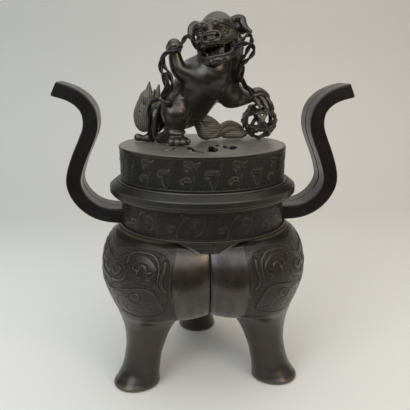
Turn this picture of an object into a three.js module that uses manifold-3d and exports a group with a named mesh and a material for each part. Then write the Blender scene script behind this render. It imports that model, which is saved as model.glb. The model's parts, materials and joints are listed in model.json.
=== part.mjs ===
// Tripod incense burner: a three-lobed bronze vessel, two strap handles, and a pierced cover
// that lifts off by its lion finial. Millimetres, +Z up, the feet stand on z = 0.
import * as THREE from "three";
import * as BufferGeometryUtils from "three/addons/utils/BufferGeometryUtils.js";
import Module from "manifold-3d";

const wasm = await Module();
wasm.setup();

// Driving dimensions: fits
const GAP = 0.3; // clearance between two pieces that touch
const RIM_PLAY = 0.9; // radial play of the cover's locating ring in the mouth

// Driving dimensions: bowl and legs
const LEG_HEIGHT = 76; // ground to the joint under the lobes
const BOWL_HEIGHT = 83.2; // leg joint to the seat of the neck
const BELLY_REACH = 106; // axis to the outermost point of a lobe
const LOBE_HALF_WIDTH = 73.5; // half of a lobe's width at the belly
const LOBE_SQUARENESS = 2.35; // exponent of the lobe's horizontal section, 2 is an ellipse
const LEG_SQUARENESS = 2.05;
const LOBE_TAPER = 0.13; // how much wider a lobe is towards the axis than at its front
const BOWL_WALL = 4.5;
const BOWL_FLOOR = 8; // metal left under the hollow of each lobe
const COLLAR_WALL = 4.5; // upright collar that carries the neck
const COLLAR_DEPTH = 12;
const MOUTH_RADIUS = 76; // clear opening through collar, neck and rim
const TENON_RADIUS = 11; // spigot on each leg
const TENON_HEIGHT = 5;
const LEG_AZIMUTHS = { leg_back: 90, leg_front_left: 210, leg_front_right: 330 };

// Outline of a lobe: share of bowl height, then outer and inner reach as shares of the belly
// reach, then half width as a share of the lobe's half width
const LOBE_ROWS = [
  [0, 0.888, 0.27, 0.47],
  [0.05, 0.902, 0.14, 0.62],
  [0.12, 0.925, -0.05, 0.8],
  [0.24, 0.962, -0.14, 0.9],
  [0.4, 0.994, -0.17, 0.98],
  [0.55, 1, -0.17, 1],
  [0.7, 0.98, -0.16, 0.99],
  [0.84, 0.942, -0.14, 0.955],
  [0.94, 0.885, -0.12, 0.895],
  [1, 0.815, -0.1, 0.81],
];

// Outline of a leg: share of leg height, outer and inner reach as shares of the belly reach,
// half width as a share of the lobe's; the top row is the lobe's first
const LEG_ROWS = [
  [0, 0.983, 0.562, 0.286],
  [0.029, 0.994, 0.553, 0.302],
  [0.105, 0.957, 0.555, 0.284],
  [0.224, 0.908, 0.543, 0.261],
  [0.395, 0.87, 0.519, 0.252],
  [0.592, 0.849, 0.47, 0.275],
  [0.789, 0.855, 0.402, 0.324],
  [0.908, 0.87, 0.34, 0.384],
];

// Driving dimensions: neck and mouth rim
const NECK_HEIGHT = 28.6;
const NECK_WALL = 6.2; // mouth to the ground of the neck's ornament band
const NECK_LEDGE = 2.3; // how far the ledge stands out from the band
const NECK_LEDGE_HEIGHT = 2.6;
const RIM_OVERHANG = 8.8; // how far the rim stands out from the band
const RIM_HEIGHT = 4.6;
const RIM_STEP = 3.8;
const RIM_STEP_HEIGHT = 1.6;
const RIM_CHAMFER = 0.8;

// Driving dimensions: handles, a strap bent in its own upright plane
const STRAP_THICKNESS = 14;
const STRAP_DEPTH = 37;
const STRAP_BEVEL = 1.1;
const HANDLE_ROOT_LIFT = 10; // neck seat to the middle of the handle's root
const HANDLE_LEAN = { left: 0.9, right: 3.4 }; // degrees outward, made by hand and unequal
const SLOT_WIDTH = 2.6;
const SLOT_DEPTH = 3.5;
const SLOT_RANGE = [0.26, 0.72]; // share of the strap's length taken by the slot
const RIVET_RADIUS = 3.4;
const RIVET_SPREAD = 9; // each rivet's distance from the strap's middle
const RIVET_BITE = 9; // length of rivet inside the handle
const RIVET_HEAD_RADIUS = 5.2;
const RIVET_HEAD_HEIGHT = 2.2;
// Strap centreline from the neck's wall: outward, upward
const STRAP_LINE = [
  [-2, -0.2], [12, 1.2], [24.5, 5.7], [34.8, 14], [41.6, 24.6], [43.9, 34.8], [41.8, 46],
  [36.6, 59.5], [30.2, 73], [25.5, 84], [24, 94], [26, 104.6], [32.6, 113.4], [42.4, 119.7], [56, 124.3],
];
const STRAP_END_CUT = 27; // degrees that the cut end leans back

// Driving dimensions: cover
const FLANGE_OVERHANG = 2.5; // how far the flange stands out from the rim
const FLANGE_FACE = 6; // height of the flange's upright edge
const FLANGE_SLOPE_RUN = 6.7; // how far the sloping top draws in
const FLANGE_SLOPE_TOP = 11; // height where the slope ends
const FLANGE_GROOVE = [0.9, 0.8]; // width and depth of the groove at the slope's top
const FLANGE_BEAD = 2.1; // how far the bead stands out from the drum
const FLANGE_HEIGHT = 12.4;
const DRUM_HEIGHT = 32.2;
const DRUM_SHOULDER = 6.3; // mouth to the drum's foot
const DRUM_FLARE = 0.7;
const DRUM_WALL = 4;
const PLATE_THICKNESS = 4;
const DRUM_EDGE = 1.2; // rounding of the plate's edge
const RING_WALL = 4;
const RING_DROP = 9; // how far the locating ring reaches into the mouth
const RING_OVERLAP = 10; // how far it reaches up inside the drum

// Cloud vents through the plate: middle and size as shares of the drum's radius, turn in degrees
const VENTS = [
  { at: [-0.373, -0.434], size: 0.067, turn: 12, lobes: 1 },
  { at: [-0.084, -0.506], size: 0.055, turn: 40, lobes: 2 },
  { at: [0.108, -0.542], size: 0.072, turn: -8, lobes: 3 },
  { at: [0.301, -0.337], size: 0.072, turn: 24, lobes: 3 },
  { at: [-0.361, 0.602], size: 0.067, turn: 150, lobes: 1 },
  { at: [0.217, 0.747], size: 0.072, turn: 190, lobes: 3 },
];

// Driving dimensions: lion finial, places from the middle of the plate: right, back, up, radius
const FINIAL_TURN = -5; // degrees that the cover stands turned on the vessel
const BALL = { at: [60, 36], radius: 18.5, strap: 3.4, thickness: 2.4 };
const LION = {
  spine: [[-24, 10, 27, 15], [-15, 7, 36, 20], [-4, 0, 52, 21.5], [7, -6, 67, 21.5], [13, -8, 80, 16]],
  thigh: [[-27, -7, 40, 12], [-26, -9, 31, 14.5], [-24, -9, 22, 10], [-25, -8, 12, 6.6], [-27, -6, 8, 6]],
  nearFoot: [[-41, 1, 4.6, 4.6], [-32, -5, 6.5, 6.4], [-22, -12, 6, 6.4]],
  nearToes: [
    [-28, -16.5, 3.8, 3.6], [-22.5, -18.5, 3.8, 3.7], [-17.5, -16.5, 3.8, 3.6], [-15.5, -12, 3.8, 3.3],
  ],
  farLeg: [[-36, 17, 28, 9], [-44, 17, 19, 7.5], [-51, 16, 9, 5], [-53, 16, 4.4, 4.2]],
  farFoot: [[-52, 16, 4, 4], [-60, 14.5, 3.4, 3.2], [-66, 13.5, 3.8, 3.8]],
  lock: [[-43, 9, 37, 4], [-47, 8, 29, 6], [-48.5, 8, 20, 6.2], [-49, 8, 11, 4.4], [-49, 8, 5, 2.4]],
  raisedArm: [
    [-3, -12, 64, 13], [-14, -16, 68, 10], [-21.5, -19, 72, 8], [-24.5, -20, 80, 6.6], [-26, -21, 88, 5.6],
  ],
  raisedPaw: [[-30.5, -20, 91.5, 5.4], [-25.5, -23, 93.5, 7], [-20, -24, 95, 5]],
  plantedArm: [[18, -4, 62, 12], [27, 2, 53, 11], [35, 10, 46, 10], [45, 20, 44, 6.6], [51, 27, 45, 5.8]],
  plantedPaw: [[51, 27, 46, 6], [58, 32, 46.5, 7.6], [65, 35, 43.5, 6]],
  claws: [
    [[66, 30, 42.5, 3], [71, 30, 37, 2.6], [74, 30, 31.5, 1.5]],
    [[67, 35.5, 43, 3], [73, 36.5, 38, 2.6], [77.5, 37, 31, 1.5]],
    [[60, 24, 42.5, 3], [64, 20, 38.5, 2.5], [66.5, 17.5, 33, 1.5]],
  ],
  neck: [[14, -6, 82, 15], [15, -8, 90, 15], [15, -10, 98, 16]],
  skull: [[15, -5, 104, 18], [14, -12, 106, 19], [13, -20, 105, 16.5]],
  crown: [[13.5, -13, 112, 11]],
  muzzle: [[12, -24, 101, 11], [10, -32, 99.5, 10.5], [9, -37, 99, 8]],
  cheeks: [
    [[0, -20, 95, 8.5], [-1, -27, 93.5, 6.5]],
    [[24, -18, 95, 10], [23, -27, 92.5, 6.5]],
  ],
  brows: [
    [[-3, -29, 108, 3], [3, -33.5, 111.5, 3.6], [9, -34, 109, 2.8]],
    [[14, -34, 108.5, 2.8], [20, -32.5, 110.5, 3.6], [27, -26, 106, 3]],
  ],
  nose: [[4, -39, 102.5, 3.2], [8.5, -42, 103.5, 4], [13, -39.5, 102, 3.2]],
  jaw: [[13.5, -14, 84, 9], [12.5, -24, 80.5, 9], [11.5, -32, 79.5, 7]],
  beard: [[1, -26, 79, 4], [7, -31.5, 76, 4.4], [15, -31.5, 75.5, 4.6], [23, -25, 78, 4.2]],
  earLeft: [[-4, -10, 111, 4], [-9.5, -12, 113, 5], [-12.4, -13, 107, 5.4], [-8.5, -15, 101.5, 3.6]],
  earRight: [[27, -9, 114, 4.4], [35, -9, 116.5, 5.4], [41, -10, 112, 5.6], [44, -11, 104.5, 3]],
  tress: [[29, 2, 108, 10], [33, 0, 97, 9], [34.5, -2, 84, 8], [34, -4, 71, 6.5], [33, -6, 60, 3]],
  mane: [[12, 8, 108, 12], [12, 12, 96, 13], [11, 12, 82, 11], [8, 13, 68, 6]],
  tail: [[-38, 16, 33, 5], [-46, 17.5, 34, 5.5], [-54, 18.5, 38, 6], [-58, 19, 44, 7.5]],
  tailLeaf: [
    [-59, 19, 12, 6], [-62.5, 19, 18, 9.5], [-62.5, 19, 30, 10.6], [-58, 19.5, 44, 7.5],
    [-55.5, 20, 52, 4], [-55, 20, 61, 1.2],
  ],
  tailTip: [[-56, 19.5, 36, 5.5], [-50, 20, 43, 5], [-46, 20, 49, 3.4], [-44.6, 20, 57, 1.1]],
  plume: [
    [-9, 20, 30, 8], [-1, 25, 23, 10], [8, 29, 13.6, 10.8], [20, 32, 11.4, 7.6], [30, 34, 14.6, 6.2],
    [38, 35, 13, 4.4], [43.5, 36, 8, 1.8],
  ],
  knob: [[-41, -12, 43.5, 1.6], [-36.5, -18, 42.5, 2], [-32.5, -23.5, 41.5, 4]],
};
const RIBBON_RADIUS = 1.7;
const RIBBONS = {
  ribbon_left: [
    [
      [-4, -33, 89.5], [-8, -36.5, 94.5], [-13, -37, 100], [-17, -36, 98], [-17.5, -35, 92.5],
      [-24, -34, 88], [-33, -33, 86.4], [-40.5, -27, 79], [-38.5, -26, 69], [-33, -26, 62],
      [-28.6, -26.5, 55], [-32.5, -25, 48], [-37, -19.5, 45.5],
    ],
    [
      [-35, -31.5, 85], [-36.5, -27, 77], [-33.5, -27.5, 69], [-29.5, -29, 61], [-30, -27.5, 53],
      [-34.5, -22.5, 47],
    ],
  ],
  ribbon_right: [
    [
      [25.5, -30, 90], [34, -27, 93.5], [42, -23, 100], [47.6, -20, 100], [47.5, -19, 92], [42, -18, 83],
      [37, -16.5, 74], [37.5, -13.5, 65], [43.5, -7, 57], [49.5, 4, 50], [53, 16, 47.5],
    ],
    [
      [33.5, -27.2, 92.6], [40, -25, 94.5], [46, -22.5, 90.5], [43.5, -19.5, 82], [39.6, -16.2, 73.5],
      [41, -12, 64],
    ],
  ],
};
const HANGING_CORD = [
  [-43, -8, 43.6], [-49.5, -2, 41], [-52.4, 0, 34], [-52.8, 1.5, 22], [-53, 4, 10], [-53, 6, 3],
];

// Ogre mask in relief on each lobe, one half: degrees from the leg's line, share of the bowl's height
const MASK_DEPTH = 0.7;
const MASK_PANEL = [
  [0, 0.867], [21, 0.933], [33, 0.925], [38, 0.7], [37, 0.41], [31, 0.2], [14, 0.105], [0, 0.096],
];
const HORN_AT = [22.6, 0.748];
const HORN = { across: 8.6, up: 0.1 }; // half sizes of the horn's round outline
const HORN_HOLLOW = [[-2.4, -0.13], [2.4, -0.13], [3.8, 0.03], [-3.8, 0.03]];
const HORN_CORNERS = 6;

// Facets
const RING_SEGMENTS = 36;
const LOBE_SIDES = 20;
const LOBE_SIDES_INSIDE = 14;
const LEG_SIDES = 14;
const STRAP_STEPS = 16;
const HOOP_SEGMENTS = 8;
const RIVET_SIDES = 8;
const VENT_SIDES = 6;
const TENON_SIDES = 10;

// Radii and heights that follow from the driving dimensions
const COLLAR_RADIUS = MOUTH_RADIUS + COLLAR_WALL;
const NECK_RADIUS = MOUTH_RADIUS + NECK_WALL;
const NECK_LEDGE_RADIUS = NECK_RADIUS + NECK_LEDGE;
const RIM_STEP_RADIUS = NECK_RADIUS + RIM_STEP;
const RIM_RADIUS = NECK_RADIUS + RIM_OVERHANG;
const FLANGE_RADIUS = RIM_RADIUS + FLANGE_OVERHANG;
const DRUM_BASE_RADIUS = MOUTH_RADIUS + DRUM_SHOULDER;
const DRUM_TOP_RADIUS = DRUM_BASE_RADIUS + DRUM_FLARE;
const BOWL_TOP = LEG_HEIGHT + BOWL_HEIGHT;
const NECK_BASE = BOWL_TOP + GAP;
const NECK_TOP = NECK_BASE + NECK_HEIGHT;
const RIM_BASE = NECK_TOP + GAP;
const RIM_TOP = RIM_BASE + RIM_HEIGHT;
const FLANGE_BASE = RIM_TOP + GAP;
const DRUM_BASE = FLANGE_BASE + FLANGE_HEIGHT + GAP;
const PLATE_TOP = DRUM_BASE + DRUM_HEIGHT;
const RING_RADIUS = MOUTH_RADIUS - RIM_PLAY;
const FLANGE_BORE = RING_RADIUS + GAP;

const bronze = (color, roughness) =>
  new THREE.MeshStandardMaterial({ color, roughness, metalness: 0.85 });
const BRONZE = {
  body: bronze(0x3a342f, 0.42),
  dark: bronze(0x2b2422, 0.45),
  lid: bronze(0x4b4a44, 0.48),
  lion: bronze(0x3f3935, 0.38),
};

// Geometry helpers

/** Six times the volume enclosed by a triangle list, with its sign. */
function signedVolume(position, index) {
  const corner = (k) => new THREE.Vector3().fromArray(position, 3 * index[k]);
  let sum = 0;
  for (let i = 0; i < index.length; i += 3) sum += corner(i).dot(corner(i + 1).cross(corner(i + 2)));
  return sum;
}

/** Turns a closed geometry into a solid whose faces point outward. */
function solid(geometry) {
  geometry.deleteAttribute("normal");
  geometry.deleteAttribute("uv");
  const merged = BufferGeometryUtils.mergeVertices(geometry, 1e-4);
  const position = merged.attributes.position.array;
  const index = Uint32Array.from(merged.index.array);
  if (signedVolume(position, index) < 0) {
    for (let i = 0; i < index.length; i += 3) [index[i], index[i + 1]] = [index[i + 1], index[i]];
  }
  const vertProperties = Float32Array.from(position);
  const mesh = new wasm.Mesh({ numProp: 3, vertProperties, triVerts: index });
  return new wasm.Manifold(mesh);
}

/** Skins rings of equal length, in order, and closes both ends to their middles. */
function loft(rings) {
  const sides = rings[0].length;
  const middle = (ring) => ring.reduce((sum, p) => sum.add(p), new THREE.Vector3()).divideScalar(sides);
  const points = [...rings.flat(), middle(rings[0]), middle(rings.at(-1))];
  const start = points.length - 2;
  const index = [];
  for (let j = 0; j < sides; j++) {
    const next = (j + 1) % sides;
    index.push(start, next, j);
    for (let i = 0; i + 1 < rings.length; i++) {
      const a = i * sides;
      const b = a + sides;
      index.push(a + j, a + next, b + next, a + j, b + next, b + j);
    }
    const last = (rings.length - 1) * sides;
    index.push(start + 1, last + j, last + next);
  }
  const geometry = new THREE.BufferGeometry().setFromPoints(points);
  geometry.setIndex(index);
  return geometry;
}

/** A solid of revolution about +Z from [radius, height] corners. */
function revolve(profile, segments = RING_SEGMENTS) {
  const outline = profile.map(([r, z]) => new THREE.Vector2(r, z));
  return solid(new THREE.LatheGeometry([...outline, outline[0]], segments).rotateX(Math.PI / 2));
}

/** An upright cylinder between two heights. */
function post(radius, low, high, segments = TENON_SIDES) {
  const shape = new THREE.CylinderGeometry(radius, radius, high - low, segments).rotateX(Math.PI / 2);
  return solid(shape.translate(0, 0, (low + high) / 2));
}

/** A round-ended tapering limb through [x, y, z, radius] points; grow widens it all round. */
function limb(rows, { grow = 0, sides = 8, steps = 2, squash = 1 } = {}) {
  const line = new THREE.CatmullRomCurve3(rows.map(([x, y, z]) => new THREE.Vector3(x, y, z)));
  const widths = new THREE.SplineCurve(rows.map((row, k) => new THREE.Vector2(k, row[3])));
  const count = steps * (rows.length - 1);
  const frames = [];
  for (let i = 0; i <= count; i++) {
    const t = i / count;
    frames.push({ at: line.getPoint(t), way: line.getTangent(t), radius: widths.getPoint(t).y + grow });
  }
  const first = frames[0];
  const guide = Math.abs(first.way.y) < 0.8 ? new THREE.Vector3(0, 1, 0) : new THREE.Vector3(0, 0, 1);
  let across = new THREE.Vector3().crossVectors(guide, first.way).normalize();
  for (const frame of frames) {
    const over = new THREE.Vector3().crossVectors(frame.way, across).normalize();
    across = new THREE.Vector3().crossVectors(over, frame.way).normalize();
    frame.across = across;
    frame.over = over;
  }
  const ring = ({ at, way, radius, across: u, over: v }, slide, scale) =>
    Array.from({ length: sides }, (_, k) => {
      const a = (2 * Math.PI * k) / sides;
      return at.clone().addScaledVector(way, slide)
        .addScaledVector(u, radius * scale * Math.cos(a))
        .addScaledVector(v, radius * scale * squash * Math.sin(a));
    });
  const caps = [Math.PI / 3];
  const last = frames.at(-1);
  return loft([
    ...caps.map((a) => ring(first, -first.radius * Math.sin(a), Math.cos(a))),
    ...frames.map((frame) => ring(frame, 0, 1)),
    ...caps.toReversed().map((a) => ring(last, last.radius * Math.sin(a), Math.cos(a))),
  ]);
}

/** A ball of the finial given as one [x, y, z, radius] row. */
function knuckle([x, y, z, radius], grow = 0, stretch = [1, 1, 1]) {
  const shape = new THREE.SphereGeometry(radius + grow, 6, 4);
  return solid(shape.scale(...stretch).translate(x, y, z));
}

/** Joins any number of solids. */
const join = (...solids) => solids.flat().reduce((sum, next) => sum.add(next));

/** Cuts any number of solids out of the first. */
const cut = (body, ...tools) => tools.flat().reduce((rest, next) => rest.subtract(next), body);

/** Keeps the main body where a cut leaves slivers beside it. */
function mainBody(shape) {
  return shape.decompose().reduce((best, next) => (next.volume() > best.volume() ? next : best));
}

/** Wraps a solid in a named mesh. */
function piece(name, shape, material) {
  const geometry = new THREE.BufferGeometry();
  const kept = mainBody(shape);
  const { vertProperties, triVerts, numProp } = kept.getMesh();
  const position = new Float32Array((vertProperties.length / numProp) * 3);
  for (let i = 0; i < position.length; i++) {
    position[i] = vertProperties[Math.floor(i / 3) * numProp + (i % 3)];
  }
  geometry.setAttribute("position", new THREE.BufferAttribute(position, 3));
  geometry.setIndex(Array.from(triVerts));
  geometry.computeVertexNormals();
  const mesh = new THREE.Mesh(geometry, material);
  mesh.name = name;
  return mesh;
}

/** Turns a solid about +Z by degrees. */
const turned = (shape, degrees) => shape.rotate([0, 0, degrees]);

// Bowl and legs

/** Horizontal section of a lobe or leg that lies towards +X, drawn in at its front by the taper. */
function lobeRing([height, outer, inner, half], squareness, sides, taper = 0) {
  const middle = (outer + inner) / 2;
  const reach = (outer - inner) / 2;
  const soften = (value) => Math.sign(value) * Math.abs(value) ** (2 / squareness);
  return Array.from({ length: sides }, (_, k) => {
    const a = (2 * Math.PI * k) / sides;
    const across = half * soften(Math.sin(a)) * (1 - taper * soften(Math.cos(a)));
    return new THREE.Vector3(middle + reach * soften(Math.cos(a)), across, height);
  });
}

/** The lobe's outline rows in millimetres, thinned by inset for the hollow. */
function lobeRows(inset = 0) {
  return LOBE_ROWS.map(([share, outer, inner, half]) => [
    LEG_HEIGHT + share * BOWL_HEIGHT,
    outer * BELLY_REACH - inset,
    inner * BELLY_REACH + inset,
    half * LOBE_HALF_WIDTH - inset,
  ]);
}

/** Skins a lobe's rows; the taper grows from none at the leg joint. */
function lobeLoft(rows, sides) {
  const taper = (k) => LOBE_TAPER * Math.min(1, k / 2);
  return solid(loft(rows.map((row, k) => lobeRing(row, LOBE_SQUARENESS, sides, taper(k)))));
}

/** A wedge out through a lobe's wall over an outline of [degrees, share of the bowl's height]. */
function reliefWedge(outline) {
  const ring = (radius) => outline.map(([turn, share]) => {
    const a = THREE.MathUtils.degToRad(turn);
    return new THREE.Vector3(radius * Math.cos(a), radius * Math.sin(a), LEG_HEIGHT + share * BOWL_HEIGHT);
  });
  return solid(loft([ring(COLLAR_RADIUS + GAP), ring(1.4 * BELLY_REACH)]));
}

/** What is cut from one lobe to leave the mask: a sunk panel round two horns. */
function maskTool() {
  const whole = (half) => [...half, ...half.slice(1, -1).reverse().map(([turn, share]) => [-turn, share])];
  const horns = [-1, 1].flatMap((side) => {
    const place = ([turn, share]) => [side * (HORN_AT[0] + turn), HORN_AT[1] + share];
    const round = Array.from({ length: HORN_CORNERS }, (_, k) => {
      const a = (2 * Math.PI * k) / HORN_CORNERS;
      return place([HORN.across * Math.cos(a), HORN.up * Math.sin(a)]);
    });
    return cut(reliefWedge(round), reliefWedge(HORN_HOLLOW.map(place)));
  });
  const ground = lobeLoft(lobeRows(MASK_DEPTH), LOBE_SIDES);
  return cut(reliefWedge(whole(MASK_PANEL)), horns, ground);
}

function buildBowl() {
  const lobe = lobeLoft(lobeRows(), LOBE_SIDES);
  const floor = LEG_HEIGHT + BOWL_FLOOR;
  const ceiling = BOWL_TOP - BOWL_WALL;
  const hollowRows = lobeRows(BOWL_WALL).filter(([height]) => height > floor && height < ceiling);
  const hollow = lobeLoft(hollowRows, LOBE_SIDES_INSIDE);
  const azimuths = Object.values(LEG_AZIMUTHS);
  const outside = azimuths.map((azimuth) => turned(lobe, azimuth));
  const inside = azimuths.map((azimuth) => turned(hollow, azimuth));
  const [, outer, inner] = lobeRows()[0];
  const socket = post(TENON_RADIUS + GAP, LEG_HEIGHT - 1, LEG_HEIGHT + TENON_HEIGHT + GAP)
    .translate([(outer + inner) / 2, 0, 0]);
  const collar = post(COLLAR_RADIUS, BOWL_TOP - COLLAR_DEPTH, BOWL_TOP, RING_SEGMENTS);
  const mouth = post(MOUTH_RADIUS, BOWL_TOP - 2 * COLLAR_DEPTH, BOWL_TOP + 1, RING_SEGMENTS);
  const sockets = azimuths.map((azimuth) => turned(socket, azimuth));
  const masks = azimuths.map((azimuth) => turned(maskTool(), azimuth));
  return cut(join(outside, collar), masks, inside, mouth, sockets);
}

function buildLeg() {
  const [, outer, inner, half] = lobeRows()[0];
  const lower = LEG_ROWS.map(([height, far, near, wide]) => [
    height * LEG_HEIGHT, far * BELLY_REACH, near * BELLY_REACH, wide * LOBE_HALF_WIDTH,
  ]);
  const rows = [...lower, [LEG_HEIGHT - GAP, outer, inner, half]];
  const shaft = solid(loft(rows.map((row) => lobeRing(row, LEG_SQUARENESS, LEG_SIDES))));
  const tenon = post(TENON_RADIUS, LEG_HEIGHT - TENON_HEIGHT, LEG_HEIGHT + TENON_HEIGHT)
    .translate([(outer + inner) / 2, 0, 0]);
  return join(shaft, tenon);
}

// Neck and mouth rim

function buildNeck() {
  const ring = revolve([
    [MOUTH_RADIUS, NECK_BASE],
    [NECK_LEDGE_RADIUS, NECK_BASE],
    [NECK_LEDGE_RADIUS, NECK_BASE + NECK_LEDGE_HEIGHT],
    [NECK_RADIUS, NECK_BASE + NECK_LEDGE_HEIGHT],
    [NECK_RADIUS, NECK_TOP],
    [MOUTH_RADIUS, NECK_TOP],
  ]);
  return cut(ring, Object.keys(HANDLE_LEAN).flatMap(rivetBores));
}

function buildRim() {
  return revolve([
    [MOUTH_RADIUS, RIM_BASE],
    [RIM_STEP_RADIUS, RIM_BASE],
    [RIM_STEP_RADIUS, RIM_BASE + RIM_STEP_HEIGHT],
    [RIM_RADIUS, RIM_BASE + RIM_STEP_HEIGHT + RIM_CHAMFER],
    [RIM_RADIUS, RIM_TOP],
    [MOUTH_RADIUS, RIM_TOP],
  ]);
}

// Handles

/** Outline of the strap between two shares of its length, from inner to outer offset. */
function strapOutline(from, to, inside, outside, squareEnd) {
  const line = new THREE.SplineCurve(STRAP_LINE.map(([x, z]) => new THREE.Vector2(x, z)));
  const count = Math.round(STRAP_STEPS * (to - from));
  const near = [];
  const far = [];
  for (let i = 0; i <= count; i++) {
    const t = from + ((to - from) * i) / count;
    const at = line.getPoint(t);
    const way = line.getTangent(t).normalize();
    const side = new THREE.Vector2(-way.y, way.x);
    const lean = THREE.MathUtils.degToRad(STRAP_END_CUT);
    if (squareEnd && i === count) side.set(-Math.sin(lean), Math.cos(lean));
    near.push(at.clone().addScaledVector(side, inside));
    far.push(at.clone().addScaledVector(side, -outside));
  }
  return new THREE.Shape([...near, ...far.reverse()]);
}

/** Extrudes a strap outline to a depth, centred on the strap's plane, and stands it upright. */
function strapSolid(outline, depth, bevel) {
  const settings = {
    depth: depth - 2 * bevel, steps: 1, bevelEnabled: bevel > 0, bevelSegments: 1,
    bevelThickness: bevel, bevelSize: bevel, bevelOffset: -bevel,
  };
  const geometry = new THREE.ExtrudeGeometry(outline, settings);
  return solid(geometry.translate(0, 0, bevel - depth / 2).rotateX(Math.PI / 2));
}

/** Places what belongs to one handle: leans it, moves it to the neck, faces it left or right. */
function onNeck(shape, side) {
  const leaned = shape.rotate([0, HANDLE_LEAN[side], 0]);
  const placed = leaned.translate([NECK_RADIUS, 0, NECK_BASE + HANDLE_ROOT_LIFT]);
  return turned(placed, side === "left" ? 180 : 0);
}

function rivetShape(radius, reach, head) {
  const shank = new THREE.CylinderGeometry(radius, radius, reach + RIVET_BITE, RIVET_SIDES);
  const pin = solid(shank.rotateZ(Math.PI / 2).translate((RIVET_BITE - reach) / 2, 0, 0));
  if (!head) return pin;
  const crown = RIVET_HEAD_RADIUS * 0.7;
  const dome = new THREE.CylinderGeometry(RIVET_HEAD_RADIUS, crown, RIVET_HEAD_HEIGHT, RIVET_SIDES);
  const seated = dome.rotateZ(-Math.PI / 2).translate(-reach - RIVET_HEAD_HEIGHT / 2 + 0.01, 0, 0);
  return join(pin, solid(seated));
}

/** Clearance holes for one handle's two rivets, through the neck and into the strap. */
function rivetBores(side) {
  const bore = onNeck(rivetShape(RIVET_RADIUS + GAP, 2 * (NECK_RADIUS - MOUTH_RADIUS), false), side);
  return [-RIVET_SPREAD, RIVET_SPREAD].map((offset) => bore.translate([0, offset, 0]));
}

function buildHandle(side) {
  const half = STRAP_THICKNESS / 2;
  const strap = strapSolid(strapOutline(0, 1, half, half, true), STRAP_DEPTH, STRAP_BEVEL);
  const slot = strapSolid(strapOutline(...SLOT_RANGE, half + 2, SLOT_DEPTH - half, false), SLOT_WIDTH, 0);
  const neck = post(NECK_RADIUS + GAP, NECK_BASE, NECK_TOP, RING_SEGMENTS);
  return cut(onNeck(cut(strap, slot), side), neck, rivetBores(side));
}

/** A rivet whose head clears the curved inside of the neck. */
function buildRivet(side, way) {
  const chord = Math.sqrt(MOUTH_RADIUS ** 2 - (RIVET_SPREAD + RIVET_HEAD_RADIUS) ** 2);
  const seat = NECK_RADIUS - chord * Math.cos(Math.PI / RING_SEGMENTS) + GAP;
  return onNeck(rivetShape(RIVET_RADIUS, seat, true), side).translate([0, way * RIVET_SPREAD, 0]);
}

// Cover

function buildFlange() {
  const slope = [FLANGE_RADIUS - FLANGE_SLOPE_RUN, FLANGE_BASE + FLANGE_SLOPE_TOP];
  const [grooveWidth, grooveDepth] = FLANGE_GROOVE;
  const bead = DRUM_BASE_RADIUS + FLANGE_BEAD;
  return revolve([
    [FLANGE_BORE, FLANGE_BASE],
    [FLANGE_RADIUS, FLANGE_BASE],
    [FLANGE_RADIUS, FLANGE_BASE + FLANGE_FACE],
    slope,
    [slope[0] - grooveWidth, slope[1] - grooveDepth],
    [bead + grooveWidth / 2, slope[1] - grooveDepth / 4],
    [bead, FLANGE_BASE + FLANGE_HEIGHT],
    [FLANGE_BORE, FLANGE_BASE + FLANGE_HEIGHT],
  ]);
}

/** A cloud-shaped vent: round lobes side by side, joined by a curved tail. */
function ventTool({ at, size: share, turn, lobes }) {
  const [x, y] = at.map((part) => part * DRUM_TOP_RADIUS);
  const size = share * DRUM_TOP_RADIUS;
  const depth = PLATE_THICKNESS * 1.5;
  const round = (dx, dy, radius) => {
    const pin = new THREE.CylinderGeometry(radius, radius, depth, VENT_SIDES).rotateX(Math.PI / 2);
    return solid(pin.translate(dx, dy, PLATE_TOP - PLATE_THICKNESS / 2));
  };
  const heads = Array.from({ length: lobes }, (_, k) => {
    const offset = k - (lobes - 1) / 2;
    return round(offset * size * 0.9, -size * 0.16 * Math.abs(offset), size * 0.52);
  });
  const tail = [0, 1].map((k) =>
    round(size * (0.6 + 0.6 * k), size * (0.2 + 0.2 * k), size * (0.4 - 0.12 * k)));
  const bars = [...heads, ...tail];
  return turned(join(bars), turn).translate([x, y, 0]);
}

function buildDrum() {
  const inside = DRUM_BASE_RADIUS - DRUM_WALL;
  const shell = revolve([
    [0, PLATE_TOP - PLATE_THICKNESS],
    [inside, PLATE_TOP - PLATE_THICKNESS],
    [inside, DRUM_BASE],
    [DRUM_BASE_RADIUS, DRUM_BASE],
    [DRUM_TOP_RADIUS, PLATE_TOP - DRUM_EDGE],
    [DRUM_TOP_RADIUS - DRUM_EDGE, PLATE_TOP],
    [0, PLATE_TOP],
  ]);
  return cut(shell, VENTS.map((vent) => turned(ventTool(vent), FINIAL_TURN)));
}

function buildLocatingRing() {
  const top = DRUM_BASE + RING_OVERLAP;
  return revolve([
    [RING_RADIUS - RING_WALL, FLANGE_BASE - RING_DROP],
    [RING_RADIUS, FLANGE_BASE - RING_DROP],
    [RING_RADIUS, top],
    [RING_RADIUS - RING_WALL, top],
  ]);
}

// Lion finial, built in its own turned frame on the plate

/** Half space under a height, as a cutting block as wide as the cover. */
function below(height) {
  const wide = 4 * DRUM_TOP_RADIUS;
  return solid(new THREE.BoxGeometry(wide, wide, wide).translate(0, 0, height - wide / 2));
}

const part = (rows, options) => solid(limb(rows, options));

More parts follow.
